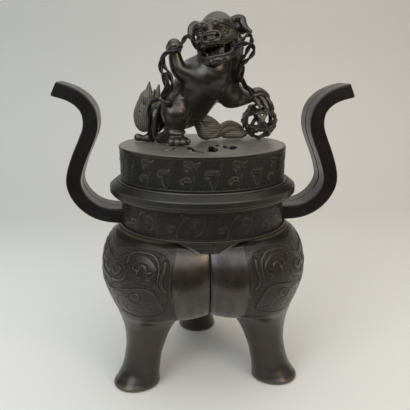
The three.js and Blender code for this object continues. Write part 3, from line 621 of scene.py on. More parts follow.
@dataclass(frozen=True)
class Bronze:
    """Cast bronze, chased and chemically darkened, then waxed: a satin brown-black skin.

    The skin is thin oxide over metal, so it shines softly and its colour drifts over the surface.
    """

    name: str
    base: str
    warm: str
    cool: str
    worn: str
    hollow: str
    metallic: float = 0.45  # the oxide hides about half of the metal
    roughness: float = 0.31
    drift: float = 34.0  # width of a patch of colour in millimetres
    grain: float = 0.9  # width of a cast pit; a real one is about 0.2 and would not show
    pitting: float = 0.05  # depth of a pit in millimetres
    wax: float = 0.6  # how fully wax covers the skin; it gives the colourless highlights
    wax_roughness: float = 0.24
    fret: float = 0.0  # cell of the chased key-fret ground in millimetres, 0 for none
    fret_depth: float = 0.25
    comb: float = 0.0  # width of an engraved lock of hair in millimetres, 0 for none
    comb_depth: float = 0.2
    comb_way: Axis = Axis.X

    def material(self) -> Metal:
        """Builds the procedural material.

        Returns:
            The material, which reads Object coordinates and the values of weather().
        """
        made = bpy.data.materials.new(self.name)
        made.use_nodes = True
        tree = made.node_tree
        tree.nodes.clear()
        place = add(tree, "ShaderNodeTexCoord").outputs["Object"]
        value = {}
        # title, width in millimetres and detail of each noise
        noises = (
            ("drift", self.drift, 3), ("cloud", self.drift * 0.55, 5), ("speck", 2.2, 4), ("sheen", 9, 4),
            ("grain", self.grain, 2),
        )
        for title, width, detail in noises:
            settings = {"Vector": place, "Scale": 1 / (width * MM), "Detail": detail, "Roughness": 0.55}
            value[title] = add(tree, "ShaderNodeTexNoise", settings).outputs["Fac"]
        for title in ("recess", "worn"):
            value[title] = add(tree, "ShaderNodeAttribute", attribute_name=title).outputs["Fac"]
        if self.comb:
            waves = {
                "Vector": place, "Scale": 0.314 / (self.comb * MM), "Distortion": 5.0, "Detail": 1.0,
                "Detail Scale": 0.5,
            }
            hair = add(tree, "ShaderNodeTexWave", waves, bands_direction=self.comb_way.value)
            value["hair"] = hair.outputs["Fac"]
        # hollows take dark patina and painted shade, raised edges take rub wear and painted highlight
        # what shows the colour, from where to where, its largest share, and the colour
        layers = (
            ("drift", 0.42, 0.68, 0.8, self.warm), ("cloud", 0.5, 0.72, 0.7, self.cool),
            ("speck", 0.52, 0.75, 0.35, self.hollow), ("recess", 0.03, 0.4, 0.85, self.hollow),
            ("worn", 0.05, 0.5, 0.7, self.worn), ("hair", 0.35, 0.0, 0.75, self.hollow),
        )
        colour, rough = srgb(self.base), self.roughness - 0.05
        for title, low, high, top, tint in layers:
            if title in value:
                ranges = {"Value": value[title], "From Min": low, "From Max": high, "To Max": top}
                share = add(tree, "ShaderNodeMapRange", ranges).outputs["Result"]
                mixed = {0: share, 6: colour, 7: srgb(tint)}
                colour = add(tree, "ShaderNodeMix", mixed, data_type="RGBA").outputs[2]
        for title, low, high, top in (("sheen", 0.3, 0.7, 0.12), ("recess", 0.03, 0.5, 0.22)):
            ranges = {"Value": value[title], "From Min": low, "From Max": high, "To Max": top}
            share = add(tree, "ShaderNodeMapRange", ranges).outputs["Result"]
            rough = add(tree, "ShaderNodeMath", {0: share, 1: rough}).outputs[0]
        pits = {0: value["grain"], 1: self.pitting}
        height = add(tree, "ShaderNodeMath", pits, operation="MULTIPLY").outputs[0]
        if self.comb:
            cuts = {0: value["hair"], 1: self.comb_depth, 2: height}
            height = add(tree, "ShaderNodeMath", cuts, operation="MULTIPLY_ADD").outputs[0]
        if self.fret:
            height = self.key_fret(tree, height)
        bump = add(tree, "ShaderNodeBump", {"Height": height, "Distance": MM, "Strength": 1.0})
        looks = {
            "Base Color": colour, "Metallic": self.metallic, "Roughness": rough,
            "Normal": bump.outputs["Normal"], "Coat Weight": self.wax,
            "Coat Roughness": self.wax_roughness,
        }
        shader = add(tree, "ShaderNodeBsdfPrincipled", looks)
        add(tree, "ShaderNodeOutputMaterial", {"Surface": shader.outputs["BSDF"]})
        return made

    def key_fret(self, tree: Tree, under: Socket) -> Socket:
        """Adds the chased ground of nested squares, in rows that are offset like bricks.

        Args:
            tree: The material's tree.
            under: Height of the skin below it.

        Returns:
            The height with the pattern, in millimetres, strongest in the hollows.
        """
        flow = add(tree, "ShaderNodeUVMap", uv_map="flow").outputs["UV"]
        cells = add(tree, "ShaderNodeVectorMath", {0: flow, "Scale": 1 / self.fret}, operation="SCALE")
        split = add(tree, "ShaderNodeSeparateXYZ", {0: cells.outputs[0]}).outputs
        cut = add(tree, "ShaderNodeAttribute", attribute_name="ground").outputs["Fac"]
        value = {"u": split["X"], "v": split["Y"], "cut": cut, "under": under}
        # result, operation and what it works on
        steps = (
            ("row", "FLOOR", "v", 0.0), ("shift", "MULTIPLY", "row", 0.5), ("across", "ADD", "u", "shift"),
            ("across", "FRACT", "across", 0.0), ("across", "SUBTRACT", "across", 0.5),
            ("across", "ABSOLUTE", "across", 0.0), ("up", "FRACT", "v", 0.0), ("up", "SUBTRACT", "up", 0.5),
            ("up", "ABSOLUTE", "up", 0.0), ("ring", "MAXIMUM", "across", "up"),
            ("ring", "MULTIPLY", "ring", 4.5 * math.pi), ("wave", "SINE", "ring", 0.0),
            ("wave", "MULTIPLY", "wave", "cut"), ("wave", "MULTIPLY", "wave", self.fret_depth),
            ("height", "ADD", "under", "wave"),
        )
        for title, operation, *pair in steps:
            inputs = {k: value.get(part, part) for k, part in enumerate(pair)}
            value[title] = add(tree, "ShaderNodeMath", inputs, operation=operation).outputs[0]
        return value["height"]


# Cast bronze, chased, pickled dark and hardly waxed: near black in the cuts, from patina and painted shade,
# a dull grey-brown gleam on the raised lines, from wear and painted highlight. Real cells of the ground are
# about 1.2 mm; they are drawn twice as wide to show.
CAST = Bronze("chased_dark_bronze", "221e1b", "30251e", "20221e", "625c4d", "0a0908", wax=0.12, fret=2.6)
# The same casting filed smooth and waxed: soft satin lights that run down the legs and the rim.
SATIN = Bronze("waxed_dark_bronze", "1e1a17", "30241b", "1c1e1c", "625a4d", "0a0908", wax=0.42)
# Burnished by hand over the plain cheeks: a clear, colourless light across each swelling.
CHEEK = replace(SATIN, name="polished_dark_bronze", base="221e1b", roughness=0.27, wax=0.7)
# Hammered strap bronze, the darkest of the skins: black sides, with thin grey light on the edges.
STRAP = Bronze("burnished_dark_bronze", "151111", "1e1717", "171718", "4a4541", "050505", wax=0.22)
# Cast bronze with an olive patina, left nearly matt: a dusty grey-green plate and a dark wall, its bevels
# and raised lines painted pale, mostly as painted highlight and partly as wear. The cells of its ground are
# drawn twice as wide as real ones too.
LID = Bronze(
    "olive_patinated_bronze", "20201b", "2f261f", "21231d", "928d84", "0b0a09", roughness=0.38, wax=0.08,
    fret=2.2,
)
# Lost-wax casting rubbed bright on its rounds by hands, and painted lighter there as highlight: small wet
# lights over brown-black.
COAT = Bronze(
    "burnished_lion_bronze", "221f1b", "35291f", "272923", "77705f", "050404", roughness=0.34, grain=1.4,
    wax=0.6,
)
# Cast hair combed with a graver and never waxed: pale grey-olive lines, quite matt, their pale base partly
# their own colour and partly painted light of the lamps that they face. Real lines are about 0.8 mm apart;
# they are drawn three times as wide to show.
TAIL_HAIR = Bronze(
    "combed_tail_bronze", "6c6a5f", "716857", "666a5c", "98917e", "2a2823", metallic=0.3, roughness=0.56,
    grain=1.4, wax=0.0, comb=2.3,
)
# The same hair on the flame, with its lines lying level.
FLAME_HAIR = replace(TAIL_HAIR, name="combed_flame_bronze", comb_way=Axis.Z)


# Drawing in relief


class Relief:
    """A height map in millimetres over flat coordinates, drawn with strokes."""

    def __init__(self, u: Array, v: Array) -> None:
        """Starts level.

        Args:
            u: Place along the surface of each point, in millimetres.
            v: Height of each point.
        """
        self.u, self.v = u.ravel(), v.ravel()
        self.shape = u.shape
        self.height = np.zeros(self.u.size)
        self.ground = np.zeros(self.u.size)

    def near(self, line: Rows, margin: float, steps: int = 5) -> tuple[Array, Array]:
        """Distances to a curve, for the points that lie near it.

        Args:
            line: Rows of u, v and half width; the curve is smooth through them.
            margin: How far past the half width to look.
            steps: Straight pieces to each span; 1 keeps the corners.

        Returns:
            Which points are near, and their distance outside the stroke's edge.
        """
        rows = curve_through(line, steps)
        far = margin + rows[:, 2].max()
        low, high = rows[:, :2].min(0) - far, rows[:, :2].max(0) + far
        pick = np.flatnonzero(
            (self.u > low[0]) & (self.u < high[0]) & (self.v > low[1]) & (self.v < high[1])
        )
        u, v = self.u[pick], self.v[pick]
        best = np.full(pick.size, 1e9)
        for (ax, ay, ar), (bx, by, br) in zip(rows[:-1], rows[1:]):
            dx, dy = bx - ax, by - ay
            t = np.clip(((u - ax) * dx + (v - ay) * dy) / max(dx * dx + dy * dy, 1e-9), 0, 1)
            reach = np.hypot(u - ax - t * dx, v - ay - t * dy) - (ar + t * (br - ar))
            np.minimum(best, reach, out=best)
        return pick, best

    def stroke(self, line: Rows, level: float, edge: float = 0.5, steps: int = 5) -> None:
        """Brings a stroke to a level, with sloping edges."""
        pick, away = self.near(line, edge, steps)
        self.settle(pick, ease(away, edge / 2, -edge / 2), level)

    def settle(self, pick: Array, share: Array, level: float) -> None:
        """Moves the height of some points towards a level by a share, and smooths their ground."""
        self.height[pick] += (level - self.height[pick]) * share
        self.ground[pick] *= 1 - share

    def outlined(self, line: Rows, level: float, depth: float, edge: float = 0.5) -> None:
        """Draws a raised stroke with a chased line round it.

        Args:
            line: Rows of u, v and half width.
            level: Height of the stroke.
            depth: Depth of the line.
            edge: Width of the stroke's slope.
        """
        pick, away = self.near(line, 1.6)
        groove = ease(np.abs(away - 0.55), 0.85, 0.25)
        self.height[pick] -= (self.height[pick] + depth) * groove
        self.settle(pick, ease(away, edge / 2, -edge / 2), level)

    def inside(self, outline: Rows, steps: int = 4) -> Array:
        """Finds how far every point lies inside a closed smooth outline.

        Args:
            outline: Rows of u and v.
            steps: Straight pieces to each span.

        Returns:
            The distances, negative outside.
        """
        closed = [*outline, outline[0]]
        rows = curve_through([(u, v, 0.0) for u, v in closed], steps)
        crossings = np.zeros(self.u.size, int)
        best = np.full(self.u.size, 1e9)
        for (ax, ay, _), (bx, by, _) in zip(rows[:-1], rows[1:]):
            dx, dy = bx - ax, by - ay
            t = np.clip(((self.u - ax) * dx + (self.v - ay) * dy) / max(dx * dx + dy * dy, 1e-9), 0, 1)
            np.minimum(best, np.hypot(self.u - ax - t * dx, self.v - ay - t * dy), out=best)
            spans = (ay > self.v) != (by > self.v)
            crossings += spans & (self.u < dx * (self.v - ay) / (dy if dy else 1e-9) + ax)
        return np.where(crossings % 2 == 1, best, -best)

    def result(self) -> Array:
        """The heights, in the shape that was given."""
        return self.height.reshape(self.shape)


# Vessel

LEG_AZIMUTHS = {"leg_back": 90.0, "leg_front_left": 210.0, "leg_front_right": 330.0}
FLOOR_RADIUS = 60.0  # nearer to the axis there is only the bowl's underside and floor


@dataclass
class LobeForm:
    """Shape of one lobe and its leg, which lie towards +X."""

    leg_height: float = 76.0
    bowl_height: float = 83.2
    reach: float = 106.0
    half_width: float = 73.5
    squareness: float = 2.35
    leg_squareness: float = 2.05
    taper: float = 0.13
    # share of the bowl's height, outer and inner reach, half width
    lobe: Rows = (
        (0, 0.888, 0.27, 0.47), (0.05, 0.902, 0.14, 0.62), (0.12, 0.925, -0.05, 0.8),
        (0.24, 0.962, -0.14, 0.9), (0.4, 0.994, -0.17, 0.98), (0.55, 1, -0.17, 1),
        (0.7, 0.98, -0.16, 0.99), (0.84, 0.942, -0.14, 0.955), (0.94, 0.885, -0.12, 0.895),
        (1, 0.815, -0.1, 0.81),
    )
    # share of the leg's height, then as above
    leg: Rows = (
        (0, 0.983, 0.562, 0.286), (0.029, 0.994, 0.553, 0.302), (0.105, 0.957, 0.555, 0.284),
        (0.224, 0.908, 0.543, 0.261), (0.395, 0.87, 0.519, 0.252), (0.592, 0.849, 0.47, 0.275),
        (0.789, 0.855, 0.402, 0.324), (0.908, 0.87, 0.34, 0.384),
    )

    def __post_init__(self) -> None:
        """Puts the leg's and the lobe's rows on one scale of heights."""
        lobe = np.array(self.lobe)
        leg = np.array(self.leg)
        self.heights = np.concatenate(
            [leg[:, 0] * self.leg_height, self.leg_height + lobe[:, 0] * self.bowl_height]
        )
        self.shares = np.vstack([leg[:, 1:], lobe[:, 1:]])
        self.joint = len(leg)

    def section(self, z: Array, inset: float = 0.0) -> tuple[Array, Array, Array, Array, Array]:
        """Horizontal section at each height.

        Args:
            z: Heights.
            inset: How far inside the surface.

        Returns:
            Middle, half depth, half width, squareness and taper.
        """
        outer, inner, half = (monotone(self.heights, self.shares[:, k], z) for k in range(3))
        outer, inner = outer * self.reach - inset, inner * self.reach + inset
        half = half * self.half_width - inset
        row = np.interp(z, self.heights, np.arange(len(self.heights))) - self.joint
        taper = self.taper * np.clip(row / 2, 0, 1)
        power = self.leg_squareness + (self.squareness - self.leg_squareness) * ease(z, 52, 78)
        return (outer + inner) / 2, (outer - inner) / 2, half, power, taper

    def depth(self, x: Array, y: Array, z: Array, inset: Array | float = 0.0) -> Array:
        """Tells the inside of the lobe from the outside.

        Args:
            x: Places outwards.
            y: Places across.
            z: Heights.
            inset: How far inside the surface.

        Returns:
            Below 0 inside and above 0 outside.
        """
        middle, deep, half, power, taper = self.section(z, inset)
        u = (x - middle) / deep
        wide = half * (1 - taper * np.clip(u, -1, 1))
        return np.abs(u) ** power + np.abs(y / wide) ** power - 1


@dataclass
class Mask:
    """The ogre mask in low relief on a lobe, one half; the other half is its mirror.

    Places are millimetres round the lobe from the leg's centre line, and heights.
    """

    arc: float = 1.75  # millimetres round the lobe to a degree
    sunk: float = 0.85
    groove: float = 1.3
    depth: float = 0.6  # share of those depths that wear has left
    panel: Rows = (
        (-9, 149), (0, 148.2), (9, 149.5), (18, 152.2), (29, 153.8), (45, 154), (57, 152.3), (63.5, 148),
        (66.3, 141), (66.6, 126), (65.6, 112), (63.2, 103), (59.5, 96), (52, 90.8), (40, 87), (25, 84.8),
        (0, 84), (-9, 84.2),
    )
    face: Rows = (
        (-9, 108.5), (0, 108.6), (10, 111), (20, 114.2), (33, 117.6), (44, 118.6), (51.5, 115.5),
        (55.5, 108), (58.5, 98.5), (54, 94), (42, 89.5), (26, 86.8), (0, 86), (-9, 86),
    )
    horn: Rows = (
        (32.6, 132.6, 2.9), (29.3, 134.2, 2.0), (28, 138, 2.2), (31, 142.8, 2.4), (38, 145.2, 2.6),
        (45.5, 143.3, 2.5), (50.6, 138.2, 2.3), (50.2, 133.6, 2.1), (46.6, 131.9, 2.9),
    )
    raised: Sequence[Rows] = (
        ((36.2, 135, 0.9), (36.8, 138.4, 1.0), (40, 139.6, 1.1), (43, 137.6, 1.0), (43.2, 134.6, 0.9)),
        ((22.4, 140, 0.5), (23.4, 147, 0.55), (30, 150, 0.6), (40, 150.6, 0.6), (49, 149, 0.6),
         (54.6, 143.6, 0.6), (56, 136, 0.6), (55, 128, 0.5)),
        ((-3, 137, 2.4), (6, 138.2, 2.4), (12.5, 141, 1.8), (19.6, 145.6, 0.5)),
        ((0, 129, 2.0), (4.5, 126, 1.8), (10.5, 127, 1.6), (13.6, 131, 1.3), (10.6, 134, 1.0)),
        ((0, 116, 2.0), (5, 119, 1.6), (12, 120.2, 1.4), (19, 123.8, 1.2), (22, 129, 0.9)),
        ((61, 144, 0.7), (60.6, 136, 1.2), (57.8, 128.6, 1.3), (59.4, 121.4, 1.1), (62.4, 117.4, 0.7)),
    )
    chased: Sequence[Rows] = (
        ((3.2, 107.4, 0.55), (9, 110.4, 0.6), (17.6, 111.6, 0.6), (19.8, 109.8, 0.6), (15.6, 105.6, 0.6),
         (9.6, 104.6, 0.6), (8.4, 101.4, 0.6), (4.6, 98.6, 0.6), (4.2, 94.4, 0.6), (8, 90.6, 0.55)),
        ((12, 101.6, 0.5), (15.6, 99, 0.55), (12.6, 95.4, 0.55), (14, 91.4, 0.5)),
        ((24, 118.6, 0.4), (30, 122.2, 0.4), (38, 123.6, 0.4), (47, 122.4, 0.4), (54, 118.6, 0.4)),
        ((28, 102.6, 0.5), (36, 101.6, 0.5), (40, 97.4, 0.5), (40.6, 93.4, 0.4)),
        ((0, 152, 0.3), (0, 110, 0.35)),
    )
    leaf: Rows = (
        (16.4, 93.6), (20, 97.4), (26, 99.2), (33.6, 98.4), (37.8, 94), (36.2, 91.2), (28, 92.4), (18.6, 90),
    )
    tooth: Rows = ((43.6, 104), (48.4, 105), (53.4, 100.4), (53, 97.4), (47.6, 97.4), (44.4, 99.6))
    eye: Row = (32.0, 108.4, 6.8, 4.9, 17.0)  # place, half axes and tilt in degrees
    curls: Rows = (
        (9, 144.4, 2.0), (59.6, 147.4, 2.0), (27, 128.4, 2.3), (36, 127, 2.4), (46, 126, 2.4), (53, 122, 2.0),
        (16, 134.4, 2.0), (21, 134.6, 1.8), (63, 110, 1.6), (60.6, 103.4, 1.6), (5.4, 133.4, 1.5),
    )

    def draw(self, degrees: Array, heights: Array) -> tuple[Array, Array]:
        """Draws the relief.

        Args:
            degrees: Place of each point round the lobe, in degrees from its centre line.
            heights: Height of each point.

        Returns:
            Relief in millimetres, at most 0, and how much of the fret ground each point shows.
        """
        paper = Relief(np.abs(degrees) * self.arc, heights)
        inside = paper.inside(self.panel)
        sunk = ease(inside, 0.1, 0.8)
        paper.height -= self.sunk * sunk
        paper.ground[:] = sunk
        rim = ease(np.abs(inside - 0.2), 0.9, 0.35)
        paper.height += (-0.05 - paper.height) * rim
        paper.height -= 0.4 * ease(np.abs(inside + 1.25), 0.75, 0.2)
        face = paper.inside(self.face)
        paper.settle(np.arange(paper.u.size), ease(face, -0.3, 0.6), -0.32)
        bead = ease(np.abs(face - 0.5), 1.0, 0.4) * (inside > 0)
        paper.height += (-0.02 - paper.height) * bead
        paper.height -= 0.3 * ease(np.abs(face + 1.2), 0.7, 0.2) * (inside > 0)
        for u, v, size in self.curls:
            spiral = [
                (u + size * (1 - k / 9) * math.cos(k * 0.8), v + size * (1 - k / 9) * math.sin(k * 0.8), 0.32)
                for k in range(9)
            ]
            paper.stroke(spiral, -self.sunk + 0.5, 0.4, 2)
        for line in self.raised:
            paper.outlined(line, -0.03, self.groove)
        paper.outlined(self.horn, 0.0, self.groove, 0.7)
        for line in self.chased:
            paper.stroke(line, -self.groove * 0.85, 0.5)
        for shape in (self.leaf, self.tooth):
            within = paper.inside(shape)
            paper.height += (-0.75 - paper.height) * ease(within, -0.2, 0.5)
            paper.height += (-1.2 - paper.height) * ease(np.abs(within - 0.3), 0.7, 0.2)
        self.draw_eye(paper)
        paper.stroke([(0, 86, 2.3), (0, 98, 2.0), (0, 107, 1.5)], -0.02, 0.8)
        return np.minimum(paper.result(), 0) * self.depth, paper.ground.reshape(paper.shape)

    def draw_eye(self, paper: Relief) -> None:
        """Draws an oval eye: a chased ring, a raised ball and a drilled pupil.

        Args:
            paper: The relief that takes it.
        """
        u0, v0, wide, tall, tilt = self.eye
        c, s = math.cos(math.radians(tilt)), math.sin(math.radians(tilt))
        du, dv = paper.u - u0, paper.v - v0
        radius = np.hypot((du * c + dv * s) / wide, (dv * c - du * s) / tall)
        away = (radius - 1) * (wide + tall) / 2
        everywhere = np.arange(paper.u.size)
        paper.settle(everywhere, ease(np.abs(away), 1.15, 0.45), -self.groove)
        paper.settle(everywhere, ease(away, -0.9, -1.5), 0.0)
        paper.settle(everywhere, ease(np.abs(away + 2.7), 0.6, 0.15), -0.5)
        paper.settle(everywhere, ease(np.hypot(du, dv), 1.7, 1.0), -self.groove)


@dataclass
class Vessel:
    """Bowl and legs."""

    form: LobeForm = field(default_factory=LobeForm)
    mask: Mask = field(default_factory=Mask)
    top: float = 159.2
    centre: float = 115.0  # height from which the bowl's surface is swept
    collar_radius: float = 80.5
    collar_drop: float = 12.0
    mouth_radius: float = 76.0
    mouth_floor: float = 135.2
    wall: float = 4.5
    hollow_floor: float = 85.98
    panel_degrees: float = 38.5
    fine: float = 0.26  # degrees between columns over the relief
    skin: float = 0.33  # how far the drawn surface lies inside the form
    # height, and how far the polished cheek beside a crease swells there
    cheek: Rows = (
        (76, 0.0), (82, 1.2), (88, 3.0), (95, 3.9), (101, 3.3), (108, 1.4), (115, 0.3), (122, -0.7),
        (130, -1.4), (138, -2.1), (145, -2.6), (151, -3.0), (159.2, -3.0),
    )

    def columns(self) -> Array:
        """Azimuths of the columns of one lobe, finest over the relief."""
        inner = np.arange(-self.panel_degrees, self.panel_degrees + 1e-6, self.fine)
        outer = np.linspace(self.panel_degrees, 60, 19)[1:]
        return np.concatenate([-outer[::-1], inner, outer])

    def swept(self, azimuth: Array, heights: Array, slopes: Array, inside: bool) -> Array:
        """Points where rays from the axis leave the lobe.

        Args:
            azimuth: Columns, in degrees.
            heights: Heights of the level rows above the centre.
            slopes: Angles below level of the rows below the centre, in degrees.
            inside: True for the hollow, false for the outer surface.

        Returns:
            Points by row and column, top row first.
        """
        turn = np.radians(azimuth)[None, :]
        slope = np.radians(slopes)[:, None]
        level = np.ones((len(heights), 1))
        start = np.concatenate([heights[:, None], np.full((len(slopes), 1), self.centre)]) + 0 * turn
        out = np.concatenate([level, np.cos(slope)])
        rise = np.concatenate([0 * level, -np.sin(slope)]) + 0 * turn
        dx, dy = out * np.cos(turn), out * np.sin(turn)
        near, far = np.zeros_like(start), np.full_like(start, 170.0)
        for _ in range(34):
            reach = (near + far) / 2
            x, y, z = dx * reach, dy * reach, start + rise * reach
            hit = self.holds(x, y, z, inside)
            near, far = np.where(hit, reach, near), np.where(hit, far, reach)
        return np.stack([dx * near, dy * near, start + rise * near], axis=-1)

    def holds(self, x: Array, y: Array, z: Array, inside: bool) -> Array:
        """Tells which points lie in the lobe.

        Args:
            x: Places outwards.
            y: Places across.
            z: Heights.
            inside: True for the hollow alone, false for metal and hollow.

        Returns:
            True at each point that does.
        """
        form = self.form
        radius = np.hypot(x, y)
        if inside:
            hollow = (form.depth(x, y, z, self.wall) < 0) & (z > self.hollow_floor)
            mouth = (radius < self.mouth_radius) & (z > self.mouth_floor)
            return hollow & (z < self.top - self.wall) | mouth
        tuck = 0.8 * ease(z, 77, 71)  # the lobe runs on a little way inside the leg
        lobe = (form.depth(x, y, z, tuck) < 0) & (z > 70)
        return lobe | (radius < self.collar_radius) & (z > self.top - self.collar_drop)

    def swelling(self, azimuth: Array, surface: Array) -> Array:
        """How far each point of the polished cheeks stands out from the plain form.

        Args:
            azimuth: Columns, in degrees.
            surface: Points of the plain form by row and column.

        Returns:
            Millimetres away from the lobe's middle.
        """
        rows = np.array(self.cheek)
        swell = monotone(rows[:, 0], rows[:, 1], np.clip(surface[..., 2], rows[0, 0], rows[-1, 0]))
        turn = np.abs(azimuth)[None, :]
        radius = np.hypot(surface[..., 0], surface[..., 1])
        share = ease(turn, 33, 46) * (1 - 0.38 * ease(turn, 50, 60)) * ease(radius, 40, 72)
        collar = ease(surface[..., 2] - (self.top - self.collar_drop), -2, 3)
        room = np.maximum(radius - self.collar_radius, 0)
        return np.where(swell < 0, -np.minimum(-swell * share, room + 9 * (1 - collar)), swell * share)

    def bowl(self, metal: Metal, polished: Metal) -> list[Piece]:
        """Builds the three lobes, which meet at the creases between them.

        Args:
            metal: Finish of the chased panels and the inside.
            polished: Finish of the smooth cheeks beside the creases.

        Returns:
            The lobes, in the order of the legs.
        """
        azimuth = self.columns()
        level = np.concatenate([[self.top, self.top - 0.4], np.arange(self.top - 0.9, self.centre, -0.43)])
        fine = np.arange(0, 22.5, 0.25)
        coarse = 22.5 + (90 - 22.5) * np.linspace(0, 1, 34)[:-1] ** 1.15
        outer = self.swept(azimuth, level, np.concatenate([fine, coarse]), False)
        relief, ground = self.mask.draw(azimuth[None, :] + 0 * outer[..., 0], outer[..., 2])
        way = outer.copy()
        way[..., 2] = np.where(outer[..., 2] >= self.centre, 0, outer[..., 2] - self.centre)
        way /= np.linalg.norm(way, axis=-1, keepdims=True)
        outer = outer + way * (relief + self.swelling(azimuth, outer) - self.skin)[..., None]
        inner = self.swept(
            azimuth, np.linspace(self.top, self.centre, 16), np.linspace(0, 90, 12)[1:-1], True
        )
        flow = np.stack([azimuth[None, :] * self.mask.arc + 0 * outer[..., 0], outer[..., 2]], axis=-1)
        made = []
        for name, turn in LEG_AZIMUTHS.items():
            shell = Shell()
            skin = shell.put(stood(outer, turn), flow)
            lining = shell.put(stood(inner, turn))
            low = shell.put(np.array([0, AXIS_Y, outer[-1, :, 2].mean()]))
            floor = shell.put(np.array([0, AXIS_Y, self.hollow_floor]))
            shell.skin(skin)
            shell.skin(lining[:, ::-1])
            shell.skin(np.stack([lining[0], skin[0]]))
            shell.fan(skin[-1], int(low))
            shell.fan(lining[-1][::-1], int(floor))
            for column in (0, -1):
                outside = np.append(skin[:, column], low)
                within = np.append(lining[:, column], floor)
                shell.lace(outside, within)
            lobe = shell.object(name.replace("leg", "bowl_lobe"))
            carry_ground(lobe, outer, ground, turn)
            dress(lobe, metal, 0.7)
            self.darken_crease(lobe, turn)
            self.polish(lobe, turn, polished)
            made.append(lobe)
        return made

    def polish(self, lobe: Piece, turn: float, metal: Metal) -> None:
        """Gives the faces beside the chased panel the polished finish.

        Args:
            lobe: The finished lobe.
            turn: Azimuth of the lobe.
            metal: The polished finish.
        """
        lobe.data.materials.append(metal)
        _, azimuth, radius = lobe_view(read(lobe.data.polygons, "center", 3), turn)
        cheek = (np.abs(azimuth) > self.panel_degrees + 0.6) & (radius > FLOOR_RADIUS)
        lobe.data.polygons.foreach_set("material_index", cheek.astype(np.int32))

    def darken_crease(self, lobe: Piece, turn: float) -> None:
        """Paints shade along the creases: takes the wear and painted highlight off the lobe's edges and darkens
        them.

        Args:
            lobe: The finished lobe.
            turn: Azimuth of the lobe.
        """
        mesh = lobe.data
        side = np.abs(lobe_view(read(mesh.vertices, "co", 3), turn)[1])
        worn, recess = (read(mesh.attributes[name].data, "value")[:, 0] for name in ("worn", "recess"))
        # painted shade: no edge highlight and a darker hollow right at the crease
        note(mesh, "worn", worn * ease(side, 59, 56.5))
        note(mesh, "recess", recess + 0.5 * ease(side, 59, 60))

    def legs(self, metal: Metal) -> list[Piece]:
        """Builds the three legs, each run a little way up inside its lobe.

        Args:
            metal: Their finish.

        Returns:
            The legs, in the order of their azimuths.
        """
        even = 76  # level rows between the sole's edge and the tuck at the top
        shaft = np.linspace(2.4, self.form.leg_height, even)
        heights = np.concatenate([[0, 0.35, 0.9, 1.6], shaft, [78, 80, 82]])
        tuck = np.concatenate([[1.3, 0.55, 0.15, 0], np.zeros(even), [0.5, 1.2, 2.2]])
        angle = np.linspace(0, 2 * math.pi, 96, endpoint=False)
        middle, deep, half, power, _ = (v[:, None] for v in self.form.section(heights))

        def bulge(value: Array) -> Array:
            """Pushes a circle's coordinate towards the section's corners."""
            return np.sign(value) * np.abs(value) ** (2 / power)

        x = middle + (deep - tuck[:, None]) * bulge(np.cos(angle)[None, :] + 0 * power)
        y = (half - tuck[:, None]) * bulge(np.sin(angle)[None, :] + 0 * power)
        ring = np.stack([x, y, heights[:, None] + 0 * x], axis=-1)
        made = []
        for name, turn in LEG_AZIMUTHS.items():
            shell = Shell()
            grid = shell.put(stood(ring, turn))
            shell.skin(grid, wrap=True)
            shell.cap(grid, [stood(ring[row].mean(axis=0), turn) for row in (0, -1)])
            made.append(dress(shell.object(name.replace("leg", "leg_cast")), metal, 0.5, 2))
        return made


def carry_ground(piece: Piece, grid: Array, ground: Array, turn: float) -> None:
    """Writes how much of the fret ground each point of a lobe shows.

    Args:
        piece: The finished piece; its first points are the grid's, less those that were joined.
        grid: Points of the surface before they were turned.
        ground: Value at each of them.
        turn: Azimuth of the lobe.
    """
    own, azimuth, radius = lobe_view(read(piece.data.vertices, "co", 3), turn)
    level = 40  # a row well above the centre, where columns and azimuths agree
    columns = np.degrees(np.arctan2(grid[level, :, 1], grid[level, :, 0]))
    rows = grid[:, grid.shape[1] // 2, 2]
    column = np.clip(np.searchsorted(columns, azimuth), 0, len(columns) - 1)
    row = np.clip(np.searchsorted(-rows, -own[:, 2]), 0, len(rows) - 1)
    note(piece.data, "ground", ground[row, column] * (radius > FLOOR_RADIUS))


# Rings of the neck and cover


